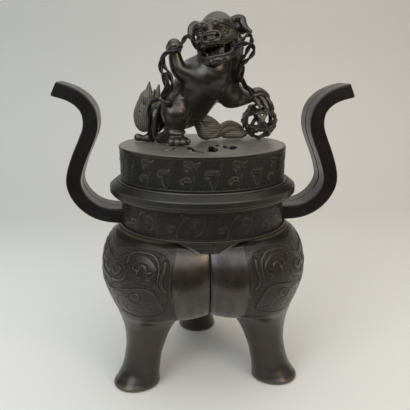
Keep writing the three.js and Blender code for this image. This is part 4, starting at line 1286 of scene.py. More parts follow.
class Motif(Enum):
    """Repeating ornament of a band: raised scrolls, then chased lines, both as strokes.

    A stroke is rows of place round the band, height above its foot and half width.
    """

    COVER = (
        (
            ((1.2, 11.2, 1.3), (-1.0, 11.0, 1.0), (-2.3, 13.6, 1.0), (-0.8, 16.4, 1.1), (3.4, 17.4, 1.2),
             (7.4, 16.8, 1.1), (9.4, 17.6, 0.8)),
            ((-19.0, 21.6, 1.2), (-20.8, 23.8, 1.0), (-18.0, 25.8, 1.1), (-13.8, 25.2, 1.1), (-10.4, 23.8, 1.0),
             (-6.4, 25.4, 0.7)),
            ((-18.0, 17.6, 1.2), (-20.0, 19.0, 0.9), (-17.8, 20.7, 1.0), (-14.6, 20.2, 1.0)),
            ((-21.6, 5.4, 1.2), (-24.0, 7.2, 0.9), (-22.4, 9.9, 1.0), (-18.8, 11.4, 1.1), (-15.4, 11.0, 0.9)),
            ((5.6, 2.6, 0.7), (3.0, 4.4, 0.8), (2.4, 7.4, 0.8)),
        ),
        (
            ((13.4, 25.6, 0.4), (11.4, 21.6, 0.6), (10.6, 17.2, 0.7), (8.4, 12.4, 0.6), (8.8, 7.8, 0.55),
             (6.4, 3.4, 0.5), (3.6, 1.4, 0.4)),
            ((-8.8, 22.4, 0.4), (-11.2, 18.8, 0.6), (-11.0, 14.2, 0.6), (-13.6, 10.4, 0.6), (-12.8, 6.0, 0.5),
             (-15.6, 1.6, 0.4)),
            ((-0.4, 14.6, 0.5), (2.4, 15.6, 0.6), (6.4, 15.0, 0.5)),
            ((-18.6, 24.0, 0.5), (-14.0, 23.4, 0.5), (-11.4, 21.8, 0.5)),
            ((-21.8, 7.6, 0.5), (-19.2, 9.4, 0.6), (-15.0, 8.8, 0.5)),
        ),
    )
    NECK = (
        (
            ((1.0, 7.2, 1.4), (-1.6, 7.0, 1.0), (-2.2, 9.6, 0.9), (1.4, 11.6, 1.0), (5.6, 10.4, 1.0),
             (7.4, 7.0, 0.9), (6.6, 1.6, 0.6)),
            ((24.2, 12.2, 1.5), (21.4, 12.6, 1.0), (21.0, 16.2, 1.0), (25.0, 18.6, 1.1), (29.6, 17.0, 1.1),
             (30.6, 12.0, 1.0), (28.6, 6.0, 0.9), (24.4, 3.2, 0.6)),
            ((13.6, 18.4, 1.2), (15.6, 20.8, 0.8), (18.4, 20.4, 0.7)),
        ),
        (
            ((8.4, 6.0, 0.4), (9.4, 11.0, 0.55), (12.4, 15.4, 0.6), (12.6, 21.8, 0.4)),
            ((34.4, 21.6, 0.4), (33.0, 14.0, 0.6), (35.0, 7.6, 0.6), (34.2, 1.6, 0.4)),
            ((23.6, 14.6, 0.4), (27.6, 14.8, 0.5), (28.4, 10.6, 0.5)),
        ),
    )


SKIN_DEPTH = 3.0  # how far inside the greatest radius a band's outer wall may lie


@dataclass
class Band:
    """A ring whose outer wall carries a repeating ornament."""

    name: str
    corners: Rows  # closed outline: radius, height, rounding
    wall: tuple[float, float]  # heights between which the ornament lies
    motif: Motif
    repeats: int
    depth: float
    start: float  # azimuth of the first motif's origin, in degrees
    step: float = 0.46

    def outline(self) -> Array:
        """The closed outline, with close rows up the ornamented wall.

        Returns:
            Rows of radius and height.
        """
        rows = rounded(self.corners, beside=())
        out = []
        for here, there in zip(rows, np.roll(rows, -1, axis=0)):
            upright = abs(there[1] - here[1]) > 10 and min(here[0], there[0]) > self.corners[1][0] - SKIN_DEPTH
            count = math.ceil(np.linalg.norm(there - here) / self.step) if upright else 1
            out.extend(here + (there - here) * k / count for k in range(count))
        return np.array(out)

    def draw(self, paper: Relief, period: float) -> Array:
        """Draws the ornament of a tile and of its neighbours, where they reach into it.

        Args:
            paper: A level relief from the foot of the wall.
            period: Length of a tile round the wall.

        Returns:
            How far each point lies inside the ornament's field, from 0 to 1.
        """
        inside = ease(np.minimum(paper.v, self.wall[1] - self.wall[0] - paper.v), 0.0, 0.5)
        paper.height -= self.depth * 0.4 * inside
        paper.ground[:] = inside
        raised, chased = self.motif.value
        # lines, shift to the right and down, level and edge; the first cuts a shade beside the second
        passes = (
            (raised, 0.5, 0.8, -self.depth, 1.0), (raised, 0, 0, 0.0, 1.2), (chased, 0, 0, -self.depth, 0.8),
        )
        for turn in (-1, 0, 1):
            for lines, right, down, level, edge in passes:
                for line in lines:
                    moved = [(u + turn * period + right, v - down, half) for u, v, half in line]
                    paper.stroke(moved, level, edge)
        return inside

    def tile(self) -> Piece:
        """Models one tile of the ring.

        Returns:
            The tile, from azimuth 0 onwards, about +Z.
        """
        outline = self.outline()
        radius = outline[:, 0].max()
        span = 2 * math.pi / self.repeats
        columns = round(span * radius / self.step)
        angle = (np.arange(columns + 1) / columns * span)[:, None]
        wall = outline[:, 0][None, :] + 0 * angle
        height = outline[:, 1][None, :] + 0 * angle
        paper = Relief(angle * radius + 0 * wall, height - self.wall[0])
        inside = self.draw(paper, span * radius)
        outer = (outline[:, 0] > radius - SKIN_DEPTH)[None, :]
        lift = np.where(outer, np.minimum(paper.result(), 0) * inside.reshape(wall.shape), 0)
        ground = np.where(outer, paper.ground.reshape(wall.shape), 0)
        place = np.stack([(wall + lift) * np.cos(angle), (wall + lift) * np.sin(angle), height], axis=-1)
        shell = Shell()
        grid = shell.put(place, np.stack([angle * radius + 0 * wall, height], axis=-1))
        shell.skin(grid, wrap=True)
        made = shell.object(self.name + "_tile")
        values = {tuple(np.round(p, 3)): g for p, g in zip(place.reshape(-1, 3), ground.ravel())}
        spots = (tuple(np.round(np.array(vertex.co) / MM, 3)) for vertex in made.data.vertices)
        note(made.data, "ground", np.array([values.get(spot, 0.0) for spot in spots]))
        return made

    def build(self, metal: Metal) -> Piece:
        """Repeats the tile round the axis.

        Args:
            metal: The ring's finish.

        Returns:
            The ring.
        """
        axis = (0.0, AXIS_Y * MM, 0.0)
        tree = Growth(self.name, {"Repeats": self.repeats, "Start": self.start, "Axis": axis})
        given = tree.given
        index = tree.add("InputIndex").outputs[0]
        pair = {0: index, 1: given["Repeats"]}
        share = add(tree.tree, "ShaderNodeMath", pair, operation="DIVIDE").outputs[0]
        first = add(tree.tree, "ShaderNodeMath", {0: given["Start"]}, operation="RADIANS").outputs[0]
        steps = {0: share, 1: 2 * math.pi, 2: first}
        turn = add(tree.tree, "ShaderNodeMath", steps, operation="MULTIPLY_ADD").outputs[0]
        spots = tree.add("Points", {"Count": given["Repeats"], "Position": given["Axis"]}).outputs[0]
        way = add(tree.tree, "ShaderNodeCombineXYZ", {"Z": turn}).outputs[0]
        euler = add(tree.tree, "FunctionNodeEulerToRotation", {0: way}).outputs[0]
        placed = tree.add(
            "InstanceOnPoints", {"Points": spots, "Instance": given["Geometry"], "Rotation": euler}
        )
        tree.finish(placed.outputs[0])
        made = tree.run(self.tile(), self.name, metal)
        weather(made, 1.0)
        return made


@dataclass
class Collar:
    """The neck, with its ledge and ornament, and the stepped rim that carries the cover."""

    ledge: Rows = (
        (76.0, 159.5, 0.3), (84.5, 159.5, 0.6), (84.5, 162.1, 0.9), (82.2, 162.1, 0.2), (82.2, 188.1, 0.3),
        (76.0, 188.1, 0.4),
    )
    wall: tuple[float, float] = (162.9, 187.4)
    rim: Rows = (
        (76.0, 188.4, 0.4), (86.0, 188.4, 0.5), (86.0, 190.0, 0.3), (91.0, 190.8, 0.6), (91.0, 193.0, 0.6),
        (76.0, 193.0, 0.5),
    )

    def build(self, cast: Metal, satin: Metal) -> list[tuple[Piece, str]]:
        """Builds the neck and the rim.

        Args:
            cast: Finish of the neck.
            satin: Finish of the rim.

        Returns:
            Each piece with the node that it stands for.
        """
        neck = Band("neck_band_chased", self.ledge, self.wall, Motif.NECK, repeats=11, depth=0.45, start=244.0)
        made = [(neck.build(cast), "neck_band")]
        made.append((dress(lathe("mouth_rim_turned", rounded(self.rim)), satin, 0.4, 1), "mouth_rim"))
        return made


@dataclass
class Handle:
    """A thick strap bent up, in and out again, for the right side; the left one is turned round."""

    thickness: float = 14.0
    depth: float = 37.0
    edge: float = 1.3
    slot_width: float = 2.6
    slot_depth: float = 3.5
    slot_range: tuple[float, float] = (0.26, 0.72)
    end_cut: float = 27.0
    root: tuple[float, float] = (82.2, 169.5)
    # degrees that each strap leans outwards, and azimuth of its root
    stands: dict[str, tuple[float, float]] = field(
        default_factory=lambda: {"left": (0.9, 180.0), "right": (3.4, 0.0)}
    )
    # outward and upward from the root
    line: Rows = (
        (-4, -0.5), (12, 1.2), (24.5, 5.7), (34.8, 14), (41.6, 24.6), (43.9, 34.8), (41.8, 46), (36.6, 59.5),
        (30.2, 73), (25.5, 84), (24, 94), (26, 104.6), (32.6, 113.4), (42.4, 119.7), (56, 124.3),
    )

    def section(self, slot: float, shrink: float = 0.0) -> Array:
        """Outline across the strap: place along its depth, and towards the inner side.

        Args:
            slot: Depth of the slot here.
            shrink: How far the outline is drawn in at the strap's end.

        Returns:
            Points of the closed outline.
        """
        wide, thick, gap = self.depth / 2 - shrink, self.thickness / 2 - shrink, self.slot_width / 2
        corners = [
            (-wide, thick, self.edge), (-wide, -thick, self.edge), (wide, -thick, self.edge),
            (wide, thick, self.edge), (gap, thick, 0.3), (gap, thick - slot, 0), (-gap, thick - slot, 0),
            (-gap, thick, 0.3),
        ]
        return rounded(corners, 5)

    def build(self, name: str, lean: float, turn: float, metal: Metal) -> Piece:
        """Builds one strap.

        Args:
            name: Name of the piece.
            lean: Degrees that it leans outwards.
            turn: Azimuth of its root.
            metal: Its finish.

        Returns:
            The piece.
        """
        rows = curve_through(self.line, 12)
        way = np.gradient(rows, axis=0)
        way /= np.linalg.norm(way, axis=1, keepdims=True)
        side = np.stack([-way[:, 1], way[:, 0]], axis=1)
        cut = math.radians(self.end_cut)
        last = np.array([-math.sin(cut), math.cos(cut)])
        for k, share in ((-3, 0.3), (-2, 0.65), (-1, 1.0)):
            side[k] = side[k] * (1 - share) + last * share
        share = np.linspace(0, 1, len(rows))
        low, high = self.slot_range
        slot = 0.02 + (self.slot_depth - 0.02) * ease(share, low - 0.006, low) * ease(share, high + 0.006, high)
        rings = [(rows[k], side[k], self.section(slot[k])) for k in range(len(rows))]
        end = rows[-1]
        rings[-1] = (end - way[-1] * self.edge, last, self.section(0.02))
        rings.append((end - way[-1] * self.edge * 0.35, last, self.section(0.02, self.edge * 0.3)))
        rings.append((end, last, self.section(0.02, self.edge)))
        grid = np.array([
            np.stack([at[0] + across[0] * ring[:, 1], ring[:, 0], at[1] + across[1] * ring[:, 1]], axis=-1)
            for at, across, ring in rings
        ])
        c, s = math.cos(math.radians(lean)), math.sin(math.radians(lean))
        x, y, z = grid[..., 0], grid[..., 1], grid[..., 2]
        leaned = np.stack([c * x + s * z + self.root[0], y, c * z - s * x + self.root[1]], axis=-1)
        placed = stood(leaned, turn)
        shell = Shell()
        skin = shell.put(placed)
        shell.skin(skin, wrap=True)
        shell.cap(skin, [placed[row].mean(axis=0) for row in (0, -1)])
        return dress(shell.object(name), metal, 0.4, 1)


@dataclass
class Rivets:
    """Domed rivets that hold the straps: a low round head inside the neck and a plain shank."""

    head_radius: float = 5.1
    head_height: float = 2.1
    shank_radius: float = 3.3
    sides: int = 28

    def tile(self, length: float) -> Piece:
        """One rivet along +Z, its head's foot at the origin and its shank below.

        Args:
            length: Length of the shank in millimetres.

        Returns:
            The rivet.
        """
        head, top, shank = self.head_radius, self.head_height, self.shank_radius
        rows = [(head * math.sin(a), top * math.cos(a)) for a in np.linspace(0.15, math.pi / 2, 7)]
        rows += [(shank, 0.0), (shank, 0.6 - length), (shank - 0.6, -length)]
        angle = np.linspace(0, 2 * math.pi, self.sides, endpoint=False)
        ring = np.array([[(r * math.cos(a), r * math.sin(a), z) for a in angle] for r, z in rows])
        shell = Shell()
        grid = shell.put(ring)
        shell.skin(grid, wrap=True)
        shell.cap(grid, [np.array([0, 0, z]) for z in (top, -length)])
        return shell.object("rivet_tile")

    def build(self, nodes: Sequence[str], metal: Metal) -> Piece:
        """Instances a rivet at each node's place.

        Args:
            nodes: Names of the rivets' nodes.
            metal: Their finish.

        Returns:
            All the rivets as one piece.
        """
        boxes = [np.array([list(corner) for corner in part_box(node)]) / MM for node in nodes]
        length = min(high[0] - low[0] for low, high in boxes) - self.head_height - 0.1
        tree = Growth("rivets", {"First": (0.0, 0.0, 0.0), "Count": len(nodes)})
        given = tree.given
        spots = tree.add("Points", {"Count": given["Count"], "Position": given["First"]}).outputs[0]
        index = tree.add("InputIndex").outputs[0]
        places, turns = [], []
        for low, high in boxes:
            side = 1.0 if low[0] + high[0] > 0 else -1.0
            inner = low[0] if side > 0 else high[0]
            places.append(np.array([inner + side * (self.head_height + 0.05), *((low + high) / 2)[1:]]) * MM)
            turns.append((0.0, -side * math.pi / 2, 0.0))
        pick = {}
        for title, rows in {"place": places, "turn": turns}.items():
            switch = tree.add("IndexSwitch", {"Index": index}, data_type="VECTOR")
            while len(switch.index_switch_items) < len(rows):
                switch.index_switch_items.new()
            for item, row in enumerate(rows):
                switch.inputs[item + 1].default_value = tuple(row)
            pick[title] = switch.outputs[0]
        placed = tree.add("SetPosition", {0: spots, "Position": pick["place"]}).outputs[0]
        way = add(tree.tree, "FunctionNodeEulerToRotation", {0: pick["turn"]}).outputs[0]
        sown = tree.add(
            "InstanceOnPoints", {"Points": placed, "Instance": given["Geometry"], "Rotation": way}
        )
        tree.finish(sown.outputs[0])
        made = tree.run(self.tile(length), "handle_rivets_domed", metal)
        weather(made, 0.6, 1)
        return made


@dataclass
class Plate:
    """The cover's flat plate, pierced by cloud-shaped vents."""

    radius: float = 80.6
    thickness: float = 4.0
    top: float = 238.2
    turn: float = -5.0
    edge: float = 0.45
    # outlines of the cloud-shaped vents, right and back from the plate's middle
    vents: Sequence[Rows] = (
        ((-36.4, -40.2), (-33.4, -41.4), (-30.1, -40.2), (-27.6, -33.7), (-26.0, -29.8), (-25.9, -37.6),
         (-28.9, -44.6), (-32.5, -46.5), (-35.3, -45.2)),
        ((-14.6, -28.5), (-12.3, -25.9), (-8.8, -33.8), (-6.8, -42.8), (-4.0, -49.1), (0.6, -56.4),
         (1.8, -61.1), (-2.1, -61.1), (-6.6, -56.3), (-9.0, -53.9), (-9.8, -44.1), (-13.4, -40.3)),
        ((0.0, -29.9), (2.5, -34.5), (5.7, -30.0), (6.2, -21.9), (9.3, -20.5), (12.0, -28.7), (14.6, -38.5),
         (13.9, -49.2), (11.9, -56.4), (8.7, -57.0), (5.6, -55.8), (4.2, -49.1), (5.8, -42.9), (3.0, -39.1)),
        ((11.8, -13.6), (14.4, -9.3), (18.3, -12.2), (21.7, -11.5), (25.1, -14.3), (28.8, -16.5),
         (32.9, -23.4), (32.1, -32.7), (29.3, -41.7), (26.1, -42.4), (23.1, -36.6), (20.0, -32.7),
         (19.3, -23.3), (16.5, -21.9), (13.6, -21.9)),
        ((-34.6, 47.0), (-30.4, 45.4), (-25.6, 47.6), (-24.4, 52.4), (-27.0, 55.6), (-31.2, 54.2),
         (-35.4, 51.6)),
        ((10.4, 62.2), (14.6, 58.4), (18.6, 60.0), (22.8, 57.6), (26.4, 60.2), (26.0, 64.8), (21.4, 66.6),
         (17.2, 64.8), (13.4, 66.8)),
    )

    def cloud(self, corners: Rows) -> Array:
        """Smooths the outline of one vent.

        Args:
            corners: Rows of right and back.

        Returns:
            Points in millimetres, turned with the cover.
        """
        path = curve_through([*corners, corners[0]], 4)[:-1]
        return turned(np.column_stack([path, np.zeros(len(path))]), self.turn)

    def build(self, metal: Metal) -> Piece:
        """Fills the plate between its rim and its vents.

        Args:
            metal: Its finish.

        Returns:
            The plate.
        """
        curve = bpy.data.curves.new("plate_outline", "CURVE")
        curve.dimensions = "2D"
        curve.fill_mode = "BOTH"
        curve.extrude = (self.thickness / 2 - self.edge) * MM
        curve.bevel_depth = self.edge * MM
        curve.bevel_resolution = 2
        curve.offset = -self.edge * MM
        angle = np.linspace(0, 2 * math.pi, 256, endpoint=False)
        circle = np.column_stack([self.radius * np.cos(angle), self.radius * np.sin(angle), 0 * angle])
        for outline in [circle, *(self.cloud(vent) for vent in self.vents)]:
            draw_line(curve, outline * MM, closed=True)
        made = settled(linked("plate_outline", curve), "cover_plate")
        smooth(made)
        move = np.array([0, AXIS_Y, self.top - self.thickness / 2]) * MM
        for vertex in made.data.vertices:
            vertex.co = np.array(vertex.co) + move
        work = bmesh.new()
        work.from_mesh(made.data)
        for edge in work.edges:
            edge.smooth = len(edge.link_faces) == 2 and edge.calc_face_angle() < math.radians(40)
        work.to_mesh(made.data)
        work.free()
        made.data.materials.clear()
        return dress(made, metal, 0.4, 1)


@dataclass
class Cover:
    """Flange, ornamented drum, plate and locating ring."""

    plate: Plate = field(default_factory=Plate)
    flange: Rows = (
        (75.4, 193.3, 0.4), (93.15, 193.3, 0.6), (93.15, 199.3, 0.8), (86.8, 204.3, 0.5), (85.9, 203.4, 0.3),
        (85.2, 203.5, 0.3), (84.9, 205.7, 0.9), (75.4, 205.7, 0.3),
    )
    ring: Rows = ((71.1, 184.3, 0.4), (75.1, 184.3, 0.7), (75.1, 216.0, 0.4), (71.1, 216.0, 0.4))
    drum: Rows = (
        (78.3, 206.0, 0.3), (82.3, 206.0, 0.4), (83.0, 238.2, 1.3), (80.6, 238.2, 0), (80.6, 234.2, 0),
        (78.3, 234.2, 0.2),
    )
    wall: tuple[float, float] = (207.2, 235.0)

    def build(self, lid: Metal) -> list[tuple[Piece, str]]:
        """Builds the cover's rings and plate.

        Args:
            lid: Their finish.

        Returns:
            Each piece with the node that it stands for.
        """
        drum = Band("cover_drum_wall", self.drum, self.wall, Motif.COVER, repeats=12, depth=0.8, start=268.0)
        made = [(drum.build(lid), "cover_drum"), (self.plate.build(lid), "cover_drum")]
        for name, outline in {"cover_flange": self.flange, "cover_locating_ring": self.ring}.items():
            made.append((dress(lathe(name + "_turned", rounded(outline)), lid, 0.4, 1), name))
        return made


# Lion finial


class Clay:
    """A block of modelling clay: distances on a grid, shaped by limbs that are added or carved."""

    def __init__(self, low: Row, high: Row, grain: float) -> None:
        """Starts empty.

        Args:
            low: Lowest corner in millimetres.
            high: Highest corner.
            grain: Width of a cell.
        """
        self.low, self.grain = np.array(low, float), grain
        self.shape = tuple(int(v) for v in np.ceil((np.array(high) - self.low) / grain))
        self.far = 10.0
        self.field = np.full(self.shape, self.far, np.float32)

    def reach(self, rows: Rows, squash: float, blend: float) -> tuple[tuple, Array]:
        """Distances to a round-ended limb, in the box of cells round it.

        Args:
            rows: Points with radius; the limb is smooth through them.
            squash: Thickness along Y against the other ways.
            blend: Width over which it will flow into the rest.

        Returns:
            The slices of that box, and the distances.
        """
        path = curve_through(rows, 4)
        fat = path[:, 3:] + blend + 1.5
        low = ((path[:, :3] - fat).min(axis=0) - self.low) / self.grain
        high = ((path[:, :3] + fat).max(axis=0) - self.low) / self.grain
        start = np.clip(np.floor(low).astype(int), 0, self.shape)
        stop = np.clip(np.ceil(high).astype(int) + 1, 0, self.shape)
        window = tuple(slice(a, b) for a, b in zip(start, stop))
        x, y, z = (
            (np.arange(a, b, dtype=np.float32) * self.grain + self.low[k]).reshape(
                [-1 if k == axis else 1 for axis in range(3)]
            )
            for k, (a, b) in enumerate(zip(start, stop))
        )
        y = y / squash
        best = np.full(tuple(stop - start), self.far, np.float32)
        flat = path * [1, 1 / squash, 1, 1]
        for (ax, ay, az, ar), (bx, by, bz, br) in zip(flat[:-1], flat[1:]):
            dx, dy, dz = bx - ax, by - ay, bz - az
            long = max(dx * dx + dy * dy + dz * dz, 1e-9)
            t = np.clip(((x - ax) * dx + (y - ay) * dy + (z - az) * dz) / long, 0, 1)
            away = np.sqrt((x - ax - t * dx) ** 2 + (y - ay - t * dy) ** 2 + (z - az - t * dz) ** 2)
            np.minimum(best, away - (ar + t * (br - ar)), out=best)
        return window, best * min(squash, 1)

    def add(self, rows: Rows, blend: float, squash: float) -> None:
        """Adds a limb that flows into what is there.

        Args:
            rows: Points with radius.
            blend: Width over which it flows.
            squash: Thickness along Y against the other ways.
        """
        window, new = self.reach(rows, squash, blend)
        old = self.field[window]
        h = np.clip(0.5 + 0.5 * (old - new) / blend, 0, 1)
        self.field[window] = old + (new - old) * h - blend * h * (1 - h)

    def carve(self, rows: Rows, blend: float, squash: float) -> None:
        """Carves a limb out of what is there.

        Args:
            rows: Points with radius.
            blend: Width over which its edge is softened.
            squash: Thickness along Y against the other ways.
        """
        window, new = self.reach(rows, squash, blend)
        old = self.field[window]
        h = np.clip(0.5 - 0.5 * (old + new) / blend, 0, 1)
        self.field[window] = old + (-new - old) * h + blend * h * (1 - h)

    def level(self, height: float) -> None:
        """Cuts off everything under a height."""
        z = np.arange(self.shape[2]) * self.grain + self.low[2]
        self.field = np.maximum(self.field, (height - z)[None, None, :]).astype(np.float32)

    def fire(self, name: str, place: Callable[[Array], Array]) -> Piece:
        """Turns the clay into a mesh.

        Args:
            name: Name of the piece.
            place: Moves points from the lion's own frame to the burner's.

        Returns:
            The piece.
        """
        grid = openvdb.FloatGrid(self.far)
        grid.copyFromArray(self.field)
        points, quads = grid.convertToQuads()
        points = place(points.astype(float) * self.grain + self.low)
        piece = mesh_object(name, points * MM, quads[:, ::-1].astype(int), np.zeros((0, 3), int))
        smooth(piece)
        return piece


class Tool(Enum):
    """What a pass does to the clay."""

    ADD = "add"
    CARVE = "carve"


class Side(Enum):
    """How a pass reads its limbs: in the lion's frame, on the face, or on both halves of the face."""

    LION = "lion"
    FACE = "face"
    BOTH = "both"


@dataclass(frozen=True)
class Pass:
    """One round of work on the clay: limbs of right, back (on the face forward), up and radius."""

    title: str
    tool: Tool
    blend: float
    side: Side = Side.LION
    squash: float = 1.0
    limbs: Sequence[Rows] = ()


@dataclass(frozen=True)
class Carving:
    """A piece of the lion: its block of clay, and the passes that shape it."""

    name: str
    low: Row
    high: Row
    grain: float  # width of a cell in millimetres
    wear: float = 0.0  # reach of its wear, patina, painted highlight and painted shade, 0 for none
    levelled: bool = True  # cut off flat where it stands on the plate
    passes: tuple[Pass, ...] = ()


HEAD = Carving("lion_head_chased", (-21, -52, 66), (52, 22, 125.3), 0.5, wear=0.7, levelled=False, passes=(
    Pass("skull and neck", Tool.ADD, 4, limbs=(
        [(15, -5, 104, 17), (14.4, -12, 106, 17.4), (13.4, -20, 105, 15)],
        [(14, -12, 112, 11), (14.1, -11.9, 112, 11)],
        [(12, -24, 101, 9.6), (10.4, -31, 100, 8.2)],
        [(15, -6, 90, 13.4), (13.5, -14, 88, 9.8), (12.2, -22, 84, 8)],
    )),
    Pass("brow, muzzle and jaw", Tool.ADD, 2.2, side=Side.BOTH, limbs=(
        [(4.5, 19.5, 4.2, 3.0), (9, 19, 5.5, 3.6), (14, 14.5, 4.8, 3.6), (18, 8, 1, 2.6)],
        [(0, 16, 6, 5), (0, 20, 1, 4.2), (0, 24, -3.5, 4.4)],
        [(0, 25.5, -5.2, 4.6), (5.6, 24, -6.4, 4.4)],
        [(7.5, 19.5, -9.5, 5.0), (12, 15, -9.6, 4.6), (14, 10, -9.5, 4.8)],
        [(11.5, 8, -21, 4.4), (8.5, 14.5, -24.5, 4.4), (0, 18, -26, 4.8)],
    )),
    Pass("cheeks", Tool.ADD, 2.2, side=Side.FACE, limbs=(
        [(14.5, 6, -4, 6), (15.5, 6, -10, 6.5), (14.5, 5, -18, 6), (12, 7, -23, 5)],
        [(-10.5, 8, -6, 6), (-11, 7, -15, 5.6), (-9.5, 8, -22, 4.6)],
    )),
    Pass("open mouth", Tool.CARVE, 1.2, side=Side.BOTH, limbs=(
        [(13, 18, -16.4, 4.2), (7, 19, -17, 5.0), (0, 19.5, -17.2, 5.4)],
        [(9, 10, -17, 4.4), (0, 10, -17.4, 4.8)],
    )),
    Pass("eye sockets", Tool.CARVE, 1.0, side=Side.BOTH, limbs=(
        [(10.1, 19.2, -1.2, 3.6), (10.2, 19.1, -1.2, 3.6)],
        [(6.6, 21.4, -1.0, 1.4), (5.4, 22.4, -2.4, 1.2)],
    )),
    Pass("eyes, brows, nose, lips, teeth and tongue", Tool.ADD, 0.7, side=Side.BOTH, limbs=(
        [(10.1, 16.2, -1.2, 3.2), (10.15, 16.2, -1.2, 3.2)],
        [(6.4, 18.8, -1.8, 1.0), (8, 19.6, 1.2, 1.0), (11.4, 18.8, 1.9, 1.0), (13.9, 15.6, -0.8, 1.0),
         (12, 16.6, -4.2, 1.0), (8.2, 18.4, -4.4, 1.0), (6.4, 18.8, -1.8, 1.0)],
        [(4.9, 22.6, 4.4, 1.9), (4.95, 22.6, 4.4, 1.9)],
        [(2.6, 23, 5, 0.8), (3.8, 23.2, 7.2, 0.9), (6.4, 22.6, 7.4, 0.9), (8.2, 21.4, 5.4, 0.9)],
        [(8.2, 21.4, 5.8, 1.2), (12.6, 18.6, 7.2, 1.3), (19, 10, 3.4, 1.0)],
        [(9.2, 24.6, -6.6, 1.1), (7.2, 26.6, -3.2, 1.1), (3.4, 28.6, -1.8, 1.1), (0, 29.4, -1.6, 1.1)],
        [(9.2, 24.6, -6.6, 1.1), (7.4, 26, -9.2, 1.1), (4, 27.6, -9.9, 1.1), (0, 28.2, -9.4, 1.1)],
        [(15.6, 12.6, -6.8, 1.3), (12, 17.6, -6.9, 1.5), (9, 21, -7.6, 1.4), (5.6, 24, -10.6, 1.5),
         (0, 25, -11.2, 1.6)],
        [(16, 13.6, -10.5, 1.6), (10.4, 20.4, -12.4, 1.8), (4.2, 23, -11.6, 1.8), (0, 23.6, -11.2, 1.8)],
        [(16, 12.5, -18.6, 1.4), (13, 15, -21.6, 1.6), (7, 19.6, -22.6, 1.6), (0, 21.6, -22.8, 1.7)],
        [(9.4, 19.4, -11.6, 1.8), (9, 20, -13.8, 1.3), (8.8, 19.8, -15.6, 0.6)],
        [(6.6, 18.6, -22, 1.6), (7.2, 19, -20.2, 1.1), (7.6, 19, -18.9, 0.6)],
        [(2, 21.2, -11.6, 1.4), (2, 21, -13.6, 1.1)],
        [(5.4, 20.6, -11.8, 1.4), (5.4, 20.4, -13.8, 1.1)],
        [(2, 18.8, -22.4, 1.3), (2, 19, -20.6, 1.1)],
        [(0, 10, -21, 3.2), (0, 15.5, -20.6, 2.9), (0, 18.4, -21.4, 1.8)],
        [(12.6, 12, -24, 2.2), (10.4, 16.6, -26.6, 2.1), (6.8, 16.8, -28, 1.5), (8.8, 16.8, -25.6, 1.2)],
        [(4.6, 20.2, -26.2, 2.0), (3.2, 20.4, -28.4, 1.8), (0.6, 19.4, -27.6, 1.3)],
    )),
    Pass("cheek curls", Tool.ADD, 0.7, side=Side.FACE, limbs=(
        [(16.4, 6.6, -13, 1.6), (19.6, 5.6, -16, 2.2), (17.2, 6.8, -19.4, 2.0), (14.6, 8.0, -16.6, 1.3)],
        [(-13.6, 7.6, -12, 1.5), (-16, 6.6, -14.6, 1.9), (-14.4, 7.4, -18, 1.8), (-12.2, 8.4, -15.4, 1.2)],
    )),
    Pass("brow crease", Tool.CARVE, 0.5, side=Side.FACE, limbs=(
        [(-1.4, 22.2, 7.8, 0.5), (3, 22.8, 9.2, 0.6), (7.7, 21.6, 8.9, 0.5)],
    )),
    Pass("pupils, nostrils and wrinkles", Tool.CARVE, 0.5, side=Side.BOTH, limbs=(
        [(10.3, 19.4, -1.4, 1.1), (10.35, 19.4, -1.4, 1.1)],
        [(0, 30.9, -5.7, 1.7), (3.4, 30, -5.9, 1.7)],
        [(5.7, 28.2, -6.2, 1.9), (5.9, 26, -6.4, 1.9)],
        [(0, 27.4, -10.4, 0.6), (0, 25.8, -12.6, 0.6)],
        [(6.8, 25.2, 9.6, 0.45), (10.6, 22.6, 9.8, 0.5), (16.4, 15.4, 8.2, 0.45)],
        [(5.2, 21.8, 1.2, 0.6), (7.2, 22, 3.0, 0.6), (12, 19.6, 3.4, 0.6), (16.4, 13.4, 2, 0.5)],
        [(8.6, 24.4, -10.4, 0.5), (13, 18.8, -9.2, 0.5), (16, 13.4, -8.6, 0.4)],
    )),
    Pass("ears", Tool.ADD, 2, squash=0.75, limbs=(
        [(-2, -11, 111.4, 3.2), (-7, -12, 112.4, 3.3), (-10.4, -13, 108.6, 3.2), (-10.4, -14, 102.8, 3),
         (-8.4, -15, 99, 2.4)],
        [(27, -9, 115.5, 3.4), (31.9, -10, 118.1, 3.4), (36.9, -10, 117.6, 3.4), (38.2, -11, 113, 3.4),
         (40.8, -12, 108.6, 3), (44.6, -12, 106, 2.2)],
        [(29, -8, 110, 4), (35, -9, 110, 3.6), (38, -10, 106, 2.6)],
    )),
    Pass("ear hollows", Tool.CARVE, 1.0, limbs=(
        [(-4.6, -14.6, 108, 1.6), (-7.2, -15.6, 106.2, 1.9), (-6.8, -16.4, 103.4, 1.4)],
        [(28.6, -14, 111.4, 2.2), (32.6, -14.6, 113, 2.4), (34.8, -14.4, 109.6, 2.2), (36, -14.4, 105.6, 1.4)],
    )),
    Pass("lock under the ear", Tool.ADD, 1.2, limbs=(
        [(29, -12, 108, 2.6), (31.4, -14, 102, 2.6), (30.4, -16, 96, 2.2)],
    )),
    Pass("ear hair", Tool.CARVE, 0.5, limbs=(
        [(27.6, -13.4, 118.6, 0.5), (32.4, -14, 120.4, 0.5), (38, -14.2, 119, 0.5), (40.4, -15, 113, 0.5),
         (44, -15, 108.6, 0.4)],
    )),
))
